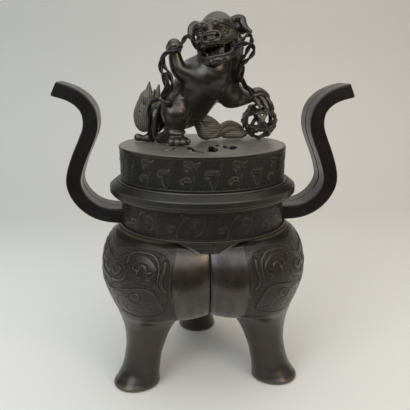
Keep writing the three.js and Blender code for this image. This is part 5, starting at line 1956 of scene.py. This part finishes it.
BODY = Carving("lion_body_chased", (-70, -32, -1.2), (80, 34, 116), 0.8, wear=0.9, passes=(
    Pass("trunk, mane and thighs", Tool.ADD, 6, limbs=(
        [(-24, 10, 27, 15), (-15, 7, 36, 20), (-4, 0, 52, 21.5), (7, -6, 67, 21.5), (13, -8, 80, 16)],
        [(14, -6, 82, 15), (15, -8, 90, 15), (15, -8, 98, 15)],
        [(12, 8, 108, 12), (12, 12, 96, 13), (11, 12, 82, 11), (8, 13, 68, 6)],
        [(-27, -7, 40, 12), (-26, -9, 31, 14.5), (-26, -9, 22, 11), (-28, -8.6, 13, 8.4), (-30, -8, 9, 7.2)],
        [(-7, -4, 66, 17), (-9, -3, 58, 18), (-13, 0, 48, 18.5), (-17, 1, 42, 17)],
        [(26, 2, 50, 12), (27.5, 4, 46.4, 12), (31, 8, 44.6, 10)],
    )),
    Pass("legs and tress", Tool.ADD, 4, limbs=(
        [(-43, 1, 4.6, 4.6), (-36, -5, 7, 6.4), (-28, -11, 7.4, 6.6), (-21, -15, 5.4, 5.2)],
        [(-36, 17, 28, 9), (-44, 17, 19, 7.5), (-51, 16, 9, 5), (-53, 16, 4.4, 4.2)],
        [(-52, 16, 4, 4), (-60, 14.5, 3.4, 3.2), (-64, 13.8, 4.2, 3.4), (-66, 13.5, 4.4, 4.0)],
        [(-3, -12, 64, 13), (-14, -16, 68, 10), (-21.5, -19, 72, 8), (-24.5, -20, 80, 6.6),
         (-26, -21, 88, 5.6)],
        [(18, -4, 62, 12), (27, 2, 53, 11), (35, 10, 46, 10), (45, 20, 44, 6.6), (51, 27, 45, 5.8)],
        [(28, 2, 108, 8), (31, 0, 97, 7.4), (32.4, -2, 84, 6.4), (32.8, -4, 71, 5.4), (33.4, -6, 60, 2.4)],
    )),
    Pass("toes, cuff, lock, fingers and strands", Tool.ADD, 1.2, limbs=(
        [(-30, -19, 3.8, 3.6), (-29.6, -16, 5.4, 3.4)],
        [(-24.4, -21.4, 3.8, 3.8), (-24.4, -18, 5.8, 3.4)],
        [(-18.6, -20.4, 3.8, 3.7), (-20, -17, 5.8, 3.4)],
        [(-14.6, -16.4, 3.8, 3.5), (-17, -13.6, 5.4, 3)],
        [(-36, -10, 14.4, 2.2), (-30, -16.4, 12.6, 2.2), (-22, -17, 11.6, 2.2), (-17.6, -11, 12.4, 1.6)],
        [(-43, 9, 37, 4), (-47, 8, 29, 6), (-48.5, 8, 20, 6.2), (-49, 8, 11, 4.4), (-49, 8, 5, 2.4)],
        [(-29, -20, 91, 5), (-25.5, -22, 92.6, 5.6), (-22, -23, 92.6, 4.4)],
        [(-30.6, -22, 91, 2.2), (-29.4, -24, 95.2, 2.4), (-26.2, -25.4, 97, 2.4), (-23.2, -26.4, 96.6, 2.3),
         (-21.4, -27, 94.6, 1.9)],
        [(-30, -25, 89.6, 2.2), (-27.8, -28, 92.8, 2.3), (-24.4, -29, 93.4, 2.3), (-21.2, -28.6, 91.8, 2.0)],
        [(-29, -25.6, 86.6, 2.1), (-26.4, -28.6, 89, 2.2), (-23.2, -29, 89.4, 2.2), (-20.4, -28, 88.6, 1.8)],
        [(51, 27, 46, 6), (58, 32, 46.5, 7.6), (65, 35, 43.5, 6)],
        [(66, 30, 42.5, 3), (71, 30, 37, 2.6), (74, 30, 31.5, 1.5)],
        [(67, 35.5, 43, 3), (73, 36.5, 38, 2.6), (77.5, 37, 31, 1.5)],
        [(60, 24, 42.5, 3), (64, 20, 38.5, 2.5), (66.5, 17.5, 33, 1.5)],
        [(54, 22.6, 42, 3), (57, 19.6, 38.4, 2.4), (59.6, 17.8, 34, 1.4)],
        [(52, 21.6, 49.4, 1.3), (57.4, 24.4, 50.8, 1.4), (62.6, 28.2, 49.4, 1.3)],
        [(54, 20.4, 46, 1.3), (59.6, 23.6, 46.8, 1.4), (65, 28.4, 45.2, 1.3)],
        [(28, -2, 106, 3), (31, -6, 98, 3.2), (30, -8, 90, 2.8), (33, -9, 82, 2.4), (31, -9, 74, 1.6)],
        [(34, -2, 104, 3), (36.8, -4, 94, 3), (35.6, -7, 84, 2.8), (37, -8, 74, 2.2), (36.4, -9, 63, 1.4)],
    )),
    Pass("hair lines and folds", Tool.CARVE, 0.6, limbs=(
        [(32.6, -8.4, 108, 0.7), (35.6, -9, 98, 0.8), (34.2, -10.6, 88, 0.8), (36.2, -10.6, 78, 0.7)],
        [(27.4, -8, 100, 0.6), (27, -10, 90, 0.7), (29, -10.4, 80, 0.6)],
        [(38.6, -6.4, 98, 0.6), (38.8, -8, 88, 0.7), (38.8, -9.6, 78, 0.5)],
        [(-68.6, 9.8, 4.6, 0.5), (-66.4, 9.4, 6.8, 0.5), (-63.8, 9.8, 4.6, 0.5), (-66, 9.4, 2.6, 0.5),
         (-68.6, 9.8, 4.4, 0.5)],
        [(-45, 2.4, 37, 0.6), (-49, 1.6, 28, 0.7), (-50.4, 1.6, 18, 0.7), (-50, 3, 8, 0.5)],
        [(-41, 3.4, 35, 0.6), (-44, 2.2, 26, 0.7), (-45, 1.6, 16, 0.6)],
        [(-26, -19.4, 49.6, 0.7), (-17.2, -18, 47.4, 1.0), (-12, -15.4, 41.5, 1.2), (-11.5, -14.6, 34, 1.2),
         (-13.9, -14.6, 26, 1.0), (-18.2, -15, 19.3, 0.7)],
    )),
))
TAIL = Carving("lion_tail_chased", (-76, 6, -1.2), (-30, 32, 64), 0.5, wear=0.7, passes=(
    Pass("stem", Tool.ADD, 2, limbs=(
        [(-38, 16, 33, 5), (-46, 17.5, 34, 5.5), (-52, 18.5, 38, 6), (-56, 19, 44, 7)],
    )),
    Pass("leaf", Tool.ADD, 2, squash=0.55, limbs=(
        [(-58.5, 19, 15, 5.5), (-60.5, 19, 19, 9), (-60, 19, 30, 9.6), (-57, 19.5, 42, 7.4),
         (-54.6, 20, 50, 3.9), (-53.6, 20, 59.6, 0.9)],
    )),
    Pass("second tip", Tool.ADD, 2, squash=0.6, limbs=(
        [(-52, 19.5, 36, 5.5), (-48, 20, 43, 4.6), (-45.6, 20, 49, 3.0), (-43.9, 20, 56.8, 0.9)],
    )),
    Pass("locks", Tool.ADD, 1.2, squash=0.7, limbs=(
        [(-67, 16.6, 18, 2.0), (-68, 16.2, 28, 2.2), (-64, 16, 39, 2.0), (-59.6, 16, 48, 1.2)],
        [(-53, 16, 22, 2.0), (-55, 15.6, 32, 2.2), (-51.6, 16, 43, 2.0), (-48.4, 17, 52, 1.0)],
    )),
    Pass("hair lines", Tool.CARVE, 0.6, limbs=(
        [(-60.6, 13.6, 14, 0.5), (-63.6, 13.2, 22, 0.7), (-62.6, 13.4, 28, 0.6)],
        [(-57, 13.8, 15, 0.5), (-59.2, 13.2, 24, 0.7), (-58.4, 13.4, 33, 0.6)],
        [(-65.4, 14.6, 15, 0.5), (-67.4, 13.8, 24, 0.6), (-66, 14, 32, 0.5)],
        [(-58.4, 14.6, 38, 1.1), (-58.2, 14.4, 37.4, 1.1)],
        [(-63.2, 13.8, 30, 1.1), (-63, 13.6, 29.4, 1.1)],
        [(-53.4, 16.2, 42, 0.8), (-51, 17, 48, 1.0), (-50.2, 18, 53, 1.2)],
        [(-60.6, 24.4, 14, 0.6), (-64, 25, 24, 0.8), (-62, 24.8, 36, 0.8), (-56, 24.4, 50, 0.5)],
        [(-57, 24.2, 16, 0.6), (-59, 25, 26, 0.8), (-58, 25, 36, 0.8), (-53, 24.4, 48, 0.5)],
    )),
))
PLUME = Carving("lion_plume_chased", (-22, 6, -1.2), (50, 46, 44), 0.5, wear=0.7, passes=(
    Pass("ridge", Tool.ADD, 2, squash=0.8, limbs=(
        [(-9, 20, 26, 6), (-1, 22, 20, 8.5), (7, 24, 13.4, 10.6), (14, 26, 9.8, 8), (20, 28, 11.2, 5.8),
         (28, 31, 14.6, 5.4), (36, 34, 14, 3.6), (43, 36, 11, 1.4)],
    )),
    Pass("foot", Tool.ADD, 2, limbs=(
        [(-2, 20, 20, 7), (2, 21, 9, 7.4), (5, 22, 8, 7)],
        [(24, 31, 6, 4.8), (32, 33, 5.6, 5), (40, 34.5, 5, 4.4), (45, 36, 6, 3.4)],
    )),
    Pass("flames", Tool.ADD, 1.2, limbs=(
        [(11.6, 18.4, 10.4, 1.5), (9.4, 18.2, 9, 1.5), (7, 17.4, 11, 1.6), (9, 17.4, 15, 1.7),
         (14, 19, 15.4, 1.8),
         (17, 20.8, 11.4, 1.8), (14.6, 20.2, 6.2, 1.8), (8.6, 18, 4, 1.7), (3.4, 17, 7.4, 1.6)],
        [(-8, 14.6, 26.6, 1.6), (-2, 15, 22, 1.8), (4, 15.4, 20.6, 1.8), (11, 19, 20, 1.4)],
        [(18, 24.4, 7, 1.6), (25, 26.6, 10.6, 1.8), (32, 29.4, 11.6, 1.6), (39, 32, 10, 1.1)],
        [(20, 24.6, 14.4, 1.6), (26.4, 26.8, 18, 1.9), (33, 29.8, 17.4, 1.6), (39.6, 32.6, 13.6, 0.9)],
    )),
    Pass("hair lines", Tool.CARVE, 0.6, limbs=(
        [(19, 23.4, 10.8, 0.6), (26, 25.4, 14.2, 0.7), (33, 28.4, 14.4, 0.6), (39.6, 31.4, 12, 0.5)],
        [(-7, 14, 23.6, 0.6), (-2.4, 14.2, 16.4, 0.7), (0.6, 15.4, 9, 0.6)],
        [(-4.4, 13.6, 25.2, 0.6), (0.8, 13.8, 18, 0.7), (4, 15, 15, 0.5)],
        [(-9, 14.8, 22, 0.5), (-5, 15.6, 14, 0.6), (-2, 17, 7, 0.5)],
        [(22, 23.4, 16.2, 0.5), (27, 25.6, 20, 0.5), (33, 29, 19, 0.5)],
    )),
))
TUFT = Carving("lion_tuft_cast", (-48, -32, 34), (-24, -6, 52), 0.4, levelled=False, passes=(
    Pass("knob", Tool.ADD, 1, limbs=(
        [(-41, -12, 43.5, 1.6), (-36.5, -18, 42.5, 2.2), (-32.5, -23.5, 41.5, 4.1)],
    )),
    Pass("cleft", Tool.CARVE, 0.5, limbs=([(-41, -14, 43.5, 0.4), (-36, -20, 42.6, 0.5)],)),
))


@dataclass
class Lion:
    """The seated lion: body, head with open mouth, tail and flame plumes.

    Places are right, back and up from the middle of the plate.
    """

    turn: float = -5.0
    plate: float = 238.2
    foot: float = -0.3  # height at which levelled pieces are cut
    origin: Row = (12.6, -16.0, 106.0)  # middle of the head
    forward: Row = (-0.139, -0.990, 0.0)
    right: Row = (0.974, -0.137, 0.182)
    up: Row = (-0.180, 0.025, 0.983)
    middle: float = -2.0  # the face's centre line
    head: Carving = HEAD
    body: Carving = BODY
    tail: Carving = TAIL
    plume: Carving = PLUME
    tuft: Carving = TUFT

    def place(self, points: Array) -> Array:
        """Moves points from the lion's frame to the burner's."""
        return turned(points, self.turn) + [0, AXIS_Y, self.plate]

    def sides(self, rows: Rows, side: Side) -> list[Rows]:
        """Brings a limb into the lion's frame.

        Args:
            rows: The limb.
            side: How it is read.

        Returns:
            The limb, or the limb and its mirror image.
        """
        if side is Side.LION:
            return [rows]
        frame = np.array([self.right, self.forward, self.up])
        out = []
        for way in (1, -1) if side is Side.BOTH else (1,):
            limb = np.asarray(rows, float) * [way, 1, 1, 1]
            spots = (limb[:, :3] + [self.middle, 0, 0]) @ frame + self.origin
            out.append(np.column_stack([spots, limb[:, 3]]))
        return out

    def model(self, carving: Carving, metal: Metal) -> Piece:
        """Shapes a piece of the lion and turns it into metal.

        Args:
            carving: The piece.
            metal: Its finish.

        Returns:
            The piece.
        """
        clay = Clay(carving.low, carving.high, carving.grain)
        for work in carving.passes:
            shape = clay.add if work.tool is Tool.ADD else clay.carve
            for limb in work.limbs:
                for rows in self.sides(limb, work.side):
                    shape(rows, work.blend, work.squash)
        if carving.levelled:
            clay.level(self.foot)
        piece = clay.fire(carving.name, self.place)
        if carving.wear:
            weather(piece, carving.wear, 2)
        piece.data.materials.append(metal)
        return piece


@dataclass
class Ribbons:
    """Cords from the corners of the mouth and one at the thigh, each of two strands side by side."""

    strand: float = 1.15
    apart: float = 1.0
    twist: float = 0.3  # radians to a point of the path
    left: Sequence[Rows] = (
        ((-4, -33, 89.5), (-8, -35, 95.5), (-11, -35, 100), (-14, -34, 101), (-17, -32, 97), (-20, -31, 92),
         (-26, -31, 88.5), (-33, -30, 86), (-38.4, -27, 79), (-38.2, -26, 72), (-36.2, -26.6, 66),
         (-34.4, -27.6, 58.8), (-34.8, -26.4, 53), (-38.6, -21, 47)),
        ((-35, -29.5, 83), (-35.6, -27, 76), (-31.5, -27.5, 70), (-28.4, -28.4, 63), (-28.4, -28, 56),
         (-32.4, -25, 49.6), (-37.8, -20, 45.6)),
        ((-34.6, -27.4, 69), (-32, -28.6, 62), (-31.4, -28, 55), (-34.6, -24.6, 49), (-38, -21, 46)),
    )
    right: Sequence[Rows] = (
        ((27.9, -30, 91.6), (31.5, -29, 93.4), (34.8, -28, 96), (38, -26, 99.2), (41.4, -23, 102.2),
         (44, -22, 102), (45.4, -21, 99), (45.5, -21, 95.4)),
        ((28.8, -30, 91.2), (32.5, -28, 91.7), (37.2, -26, 94.1), (41, -24, 94.8), (44.9, -22, 94),
         (47.5, -20, 91.1), (47.5, -19, 87.1), (44.5, -18, 82.7), (40.5, -17, 79.1), (37.2, -17, 75.9),
         (35.4, -17.4, 71.4), (34.1, -17, 65.9), (36.4, -14, 61.2), (40.6, -8, 56.4), (45.6, -1, 51.6),
         (49.3, 8, 48.2)),
        ((43.9, -23, 93.6), (41.8, -21, 89.3), (39.7, -19, 84.9), (37.1, -18, 81.3), (38, -17, 74),
         (37.6, -15, 66), (39.4, -11.6, 60), (44, -5, 55), (50, 4, 50.6)),
    )
    hanging: Sequence[Rows] = (
        ((-43, -8, 43.6), (-49.5, -2, 41), (-52.4, 0, 34), (-52.8, 1.5, 22), (-53, 4, 10), (-53, 6, 3)),
    )

    def tree(self) -> Growth:
        """Sweeps a pair of round strands along each path.

        Returns:
            The finished tree.
        """
        sizes = {"Strand": self.strand * MM, "Apart": self.apart * MM, "Twist": self.twist}
        tree = Growth("double_cord", sizes)
        given = tree.given
        circle = tree.add("CurvePrimitiveCircle", {"Resolution": 10, "Radius": given["Strand"]}).outputs[0]
        opposite = {0: given["Apart"], 1: -1.0}
        minus = add(tree.tree, "ShaderNodeMath", opposite, operation="MULTIPLY").outputs[0]
        pair = []
        for offset in (given["Apart"], minus):
            way = add(tree.tree, "ShaderNodeCombineXYZ", {"X": offset}).outputs[0]
            pair.append(tree.add("Transform", {0: circle, "Translation": way}).outputs[0])
        profile = tree.add("JoinGeometry")
        for half in pair:
            tree.tree.links.new(half, profile.inputs[0])
        index = tree.add("InputIndex").outputs[0]
        turns = {0: index, 1: given["Twist"]}
        tilt = add(tree.tree, "ShaderNodeMath", turns, operation="MULTIPLY").outputs[0]
        path = tree.add("SetCurveTilt", {0: given["Geometry"], "Tilt": tilt}).outputs[0]
        swept = tree.add(
            "CurveToMesh", {"Curve": path, "Profile Curve": profile.outputs[0], "Fill Caps": True}
        )
        tree.finish(swept.outputs[0])
        return tree

    def build(self, lion: Lion, metal: Metal) -> list[Piece]:
        """Builds the three ribbons.

        Args:
            lion: The lion whose frame their paths are in.
            metal: Their finish.

        Returns:
            The ribbons: left, right and hanging.
        """
        tree = self.tree()
        made = []
        for name, lines in {"left": self.left, "right": self.right, "hanging": self.hanging}.items():
            curve = bpy.data.curves.new(name, "CURVE")
            curve.dimensions = "3D"
            for line in lines:
                draw_line(curve, lion.place(curve_through(line, 6)) * MM)
            made.append(tree.run(linked(name, curve), f"ribbon_{name}_cord", metal))
        return made


@dataclass
class BrocadeBall:
    """The openwork ball: six hoops, a rosette on each crossing."""

    at: Row = (60.2, 36.0, 19.4)
    radius: float = 18.5
    strap: float = 4.1
    thickness: float = 2.4
    rosette: float = 2.7
    flatness: float = 0.42  # height of a rosette's dome to its radius
    softness: float = 0.5  # rounding of a strap's corners

    def spots(self) -> tuple[Array, Array]:
        """Finds where the hoops lie.

        Returns:
            Axes of the hoops, and ways from the middle to their crossings.
        """
        golden = (1 + math.sqrt(5)) / 2
        poles = np.array([v for s in (1, -1) for v in ((0, s, golden), (s, golden, 0), (s * golden, 0, 1))])
        poles /= np.linalg.norm(poles, axis=1, keepdims=True)
        cross = np.array([np.cross(a, b) for k, a in enumerate(poles) for b in poles[k + 1 :]])
        cross /= np.linalg.norm(cross, axis=1, keepdims=True)
        return poles, np.vstack([cross, -cross])

    def build(self, lion: Lion, metal: Metal) -> Piece:
        """Instances one hoop on six axes and one rosette on thirty crossings.

        Args:
            lion: The lion whose frame the ball's place is in.
            metal: Its finish.

        Returns:
            The ball.
        """
        poles, cross = self.spots()
        rows = np.vstack([poles, cross]) * MM
        seed = mesh_object("ball_ways", rows, np.zeros((0, 4), int), np.zeros((0, 3), int))
        note(seed.data, "crossing", np.r_[np.zeros(len(poles)), np.ones(len(cross))])
        sizes = {
            "Radius": (self.radius - self.thickness / 2) * MM, "Strap": self.strap * MM,
            "Thickness": self.thickness * MM, "Rosette": self.rosette * MM, "Softness": self.softness * MM,
            "Crossing Radii": self.radius + 0.1, "Dome": (1.0, 1.0, self.flatness),
            "Middle": tuple(lion.place(np.array(self.at)) * MM),
        }
        tree = Growth("brocade_ball", sizes)
        given = tree.given
        circle = tree.add("CurvePrimitiveCircle", {"Resolution": 72, "Radius": given["Radius"]}).outputs[0]
        sides = {"Width": given["Thickness"], "Height": given["Strap"]}
        section = tree.add("CurvePrimitiveQuadrilateral", sides).outputs[0]
        corner = {"Curve": section, "Count": 2, "Radius": given["Softness"]}
        soft = tree.add("FilletCurve", corner, mode="POLY").outputs[0]
        hoop = tree.add("CurveToMesh", {"Curve": circle, "Profile Curve": soft}).outputs[0]
        dome = tree.add("MeshUVSphere", {"Segments": 14, "Rings": 8, "Radius": given["Rosette"]}).outputs[0]
        flat = tree.add("Transform", {0: dome, "Scale": given["Dome"]}).outputs[0]
        place = tree.add("InputPosition").outputs[0]
        way = add(tree.tree, "FunctionNodeAlignRotationToVector", {"Vector": place}, axis="Z").outputs[0]
        turn = {0: given["Geometry"], "Name": "way", "Value": way}
        stored = tree.add("StoreNamedAttribute", turn, data_type="QUATERNION").outputs[0]
        crossing = tree.add("InputNamedAttribute", {"Name": "crossing"}, data_type="FLOAT").outputs[0]
        on_crossings, on_axes = tree.add("SeparateGeometry", {0: stored, 1: crossing}).outputs[:2]
        reach = {0: place, "Scale": given["Crossing Radii"]}
        outward = add(tree.tree, "ShaderNodeVectorMath", reach, operation="SCALE").outputs[0]
        read_way = tree.add("InputNamedAttribute", {"Name": "way"}, data_type="QUATERNION").outputs[0]
        joined = tree.add("JoinGeometry")
        for spots, at, shape in ((on_axes, (0.0, 0.0, 0.0), hoop), (on_crossings, outward, flat)):
            moved = tree.add("SetPosition", {0: spots, "Position": at}).outputs[0]
            sown = tree.add("InstanceOnPoints", {"Points": moved, "Instance": shape, "Rotation": read_way})
            tree.tree.links.new(sown.outputs[0], joined.inputs[0])
        moved = tree.add("Transform", {0: joined.outputs[0], "Translation": given["Middle"]}).outputs[0]
        tree.finish(moved)
        ball = tree.run(seed, "brocade_ball_openwork", metal)
        weather(ball, 0.5, 2)
        return ball


# Studio


@dataclass(frozen=True)
class Lamp:
    """A square soft lamp that faces the burner; sizes in millimetres and watts."""

    name: str
    place: Row
    size: float
    power: float
    tint: str

    def hang(self) -> None:
        """Hangs the lamp."""
        data = bpy.data.lights.new(self.name, "AREA")
        data.shape = "SQUARE"
        data.size = self.size * MM
        data.energy = self.power
        data.color = srgb(self.tint)[:3]
        made = linked(self.name, data)
        made.location = [v * MM for v in self.place]
        made.rotation_mode = "QUATERNION"
        aim = np.array([0, 0, 170.0]) - np.array(self.place)
        made.rotation_quaternion = Vector(aim).to_track_quat("-Z", "Y")


@dataclass
class Studio:
    """Pale sweep, soft lamps and the camera."""

    lens: float = 46.98
    eye: Row = (-46.6, -539.45, 310.8)
    heading: float = 5.278  # degrees to the right of +Y
    pitch: float = 14.3  # degrees below level
    front: float = -470.0
    bend: float = 560.0  # where the floor starts to curve up
    curve: float = 420.0
    height: float = 4200.0
    half_width: float = 4500.0
    # two daylight windows, a weaker warm fill from the right, and the ceiling
    lamps: tuple[Lamp, ...] = (
        Lamp("window_left", (-850, -1000, 820), 900, 10, "e6eef7"),
        Lamp("window_front", (150, -1500, 1050), 1000, 7, "edf1f6"),
        Lamp("window_right", (760, -1000, 720), 480, 4, "ffe6cc"),
        Lamp("ceiling", (0, 100, 1700), 2200, 17, "f1f2f2"),
    )

    def camera(self) -> None:
        """Places the camera at the photograph's viewing angle."""
        data = bpy.data.cameras.new("view")
        data.lens = self.lens
        data.sensor_width = 36
        data.clip_start, data.clip_end = 0.01, 20
        made = linked("view", data)
        made.location = [v * MM for v in self.eye]
        made.rotation_euler = (math.radians(90 - self.pitch), 0, -math.radians(self.heading))
        bpy.context.scene.camera = made

    def sweep(self) -> None:
        """Lays a paper floor that curves up into a backdrop, darker there as painted shade, cooler on the left
        as a painted lamp tint.
        """
        bend, curve = self.bend, self.curve
        profile = [(self.front, 0), (bend, 0)]
        for a in np.linspace(0, math.pi / 2, 24)[1:]:
            profile.append((bend + curve * math.sin(a), curve - curve * math.cos(a)))
        profile.append((bend + curve, self.height))
        across = (-self.half_width, 0, self.half_width)
        rows = np.array([[(x, y, z) for x in across] for y, z in profile])
        points = rows.reshape(-1, 3) * MM
        grid = np.arange(len(points)).reshape(rows.shape[:2])
        quads = np.stack([grid[:-1, :-1], grid[:-1, 1:], grid[1:, 1:], grid[1:, :-1]], axis=-1)
        floor = mesh_object("sweep", points, quads.reshape(-1, 4), np.zeros((0, 3), int))
        paper = bpy.data.materials.new("matt_paper_sweep")
        paper.use_nodes = True
        tree = paper.node_tree
        tree.nodes.clear()
        place = add(tree, "ShaderNodeTexCoord").outputs["Object"]
        split = add(tree, "ShaderNodeSeparateXYZ", {0: place})
        ways = {}
        for axis, low, high in (("Y", 0.22, 0.78), ("X", -0.5, 0.5)):
            ranges = {"Value": split.outputs[axis], "From Min": low, "From Max": high}
            node = add(tree, "ShaderNodeMapRange", ranges, interpolation_type="SMOOTHSTEP")
            ways[axis] = node.outputs["Result"]
        tones = []
        # paper tones: painted shade darkens the backdrop, painted lamp tints cool the left and warm the right
        for left, right in (("e8e9e6", "e8e5dd"), ("cfd0cc", "dcd7d0")):
            sides = {0: ways["X"], 6: srgb(left), 7: srgb(right)}
            tones.append(add(tree, "ShaderNodeMix", sides, data_type="RGBA").outputs[2])
        tint = add(tree, "ShaderNodeMix", {0: ways["Y"], 6: tones[0], 7: tones[1]}, data_type="RGBA")
        shader = add(tree, "ShaderNodeBsdfDiffuse", {"Color": tint.outputs[2]})
        add(tree, "ShaderNodeOutputMaterial", {"Surface": shader.outputs["BSDF"]})
        floor.data.materials.append(paper)

    def light(self) -> None:
        """Hangs the lamps in a room that is lit from above.

        The camera, metal and glass see pale paper above the horizon; the rest sees a dimmer grey.
        """
        for lamp in self.lamps:
            lamp.hang()
        world = bpy.data.worlds.new("room")
        world.use_nodes = True
        tree = world.node_tree
        tree.nodes.clear()
        way = add(tree, "ShaderNodeTexCoord").outputs["Generated"]
        height = add(tree, "ShaderNodeSeparateXYZ", {0: way}).outputs["Z"]
        skies = []
        # colour, range of height over which it brightens, and strength below and above
        tints = (("d9dad8", -0.04, 0.3, 0.02, 0.42), ("d4d5d1", -0.06, 0.3, 0.06, 0.8))
        for tint, low, high, dark, light in tints:
            rise = {"Value": height, "From Min": low, "From Max": high, "To Min": dark, "To Max": light}
            power = add(tree, "ShaderNodeMapRange", rise, interpolation_type="SMOOTHSTEP").outputs["Result"]
            skies.append(add(tree, "ShaderNodeBackground", {"Color": srgb(tint), "Strength": power}).outputs[0])
        path = add(tree, "ShaderNodeLightPath")
        seen = path.outputs["Is Camera Ray"]
        for kind in ("Is Glossy Ray", "Is Transmission Ray"):
            pair = {0: seen, 1: path.outputs[kind]}
            seen = add(tree, "ShaderNodeMath", pair, operation="MAXIMUM").outputs[0]
        both = add(tree, "ShaderNodeMixShader", {0: seen, 1: skies[0], 2: skies[1]})
        add(tree, "ShaderNodeOutputWorld", {"Surface": both.outputs[0]})
        bpy.context.scene.world = world


def mount(piece: Piece, body: Body, slot: Slot, *nodes: str) -> None:
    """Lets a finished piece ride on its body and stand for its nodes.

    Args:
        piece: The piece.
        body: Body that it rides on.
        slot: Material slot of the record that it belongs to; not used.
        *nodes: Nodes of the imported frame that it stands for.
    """
    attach(piece, body.value)
    if nodes:
        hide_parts(*nodes)
    faces = sum(len(face.vertices) - 2 for face in piece.data.polygons)
    log.info("%s: %d triangles", piece.name, faces)


def main() -> None:
    """Builds the burner and its studio."""
    logging.basicConfig(level=logging.INFO, format="%(name)s %(message)s", force=True)
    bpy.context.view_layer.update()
    bpy.context.scene.view_settings.view_transform = "Standard"
    studio = Studio()
    studio.camera()
    studio.sweep()
    studio.light()
    cast, satin, cheek = CAST.material(), SATIN.material(), CHEEK.material()
    strap, lid, coat = STRAP.material(), LID.material(), COAT.material()
    tail_hair, flame_hair = TAIL_HAIR.material(), FLAME_HAIR.material()
    vessel = Vessel()
    for lobe in vessel.bowl(cast, cheek):
        mount(lobe, Body.VESSEL, Slot.BODY, "bowl")
    for leg, node in zip(vessel.legs(satin), LEG_AZIMUTHS):
        mount(leg, Body.VESSEL, Slot.BODY, node)
    for piece, node in Collar().build(cast, satin):
        mount(piece, Body.VESSEL, Slot.BODY, node)
    handle = Handle()
    for side, (lean, turn) in handle.stands.items():
        grip = handle.build(f"handle_{side}_strap", lean, turn, strap)
        mount(grip, Body.VESSEL, Slot.DARK, f"handle_{side}")
    pins = [node for node in frame["nodes"] if "rivet" in node]
    mount(Rivets().build(pins, strap), Body.VESSEL, Slot.DARK, *pins)
    for piece, node in Cover().build(lid):
        mount(piece, Body.COVER, Slot.LID, node)
    lion = Lion()
    made = {
        lion.model(lion.head, coat): ("lion_head", "lion_jaw", "lion_ear_left", "lion_ear_right"),
        lion.model(lion.body, coat): (
            "lion_body", "lion_mane", "lion_mane_tress", "lion_foreleg_raised", "lion_foreleg_planted",
            "lion_hind_leg_far", "lion_hair_lock",
        ),
        lion.model(lion.tail, tail_hair): ("lion_tail_plume",),
        lion.model(lion.plume, flame_hair): ("lion_flame_plume",),
    }
    for piece, nodes in made.items():
        mount(piece, Body.COVER, Slot.LION, *nodes)
    mount(lion.model(lion.tuft, strap), Body.COVER, Slot.DARK, "lion_elbow_tuft")
    for cord in Ribbons().build(lion, strap):
        mount(cord, Body.COVER, Slot.DARK, cord.name.replace("_cord", ""))
    mount(BrocadeBall().build(lion, strap), Body.COVER, Slot.DARK, "brocade_ball")
    finishes = {Slot.BODY: satin, Slot.DARK: strap, Slot.LID: lid, Slot.LION: coat}
    given = {row["node"]: Slot(row["material_slot"]) for row in frame["record"]["subparts"]}
    for node, piece in frame["nodes"].items():
        piece.data.materials.clear()
        piece.data.materials.append(finishes[given[node]])


if __name__ == "__main__":
    main()
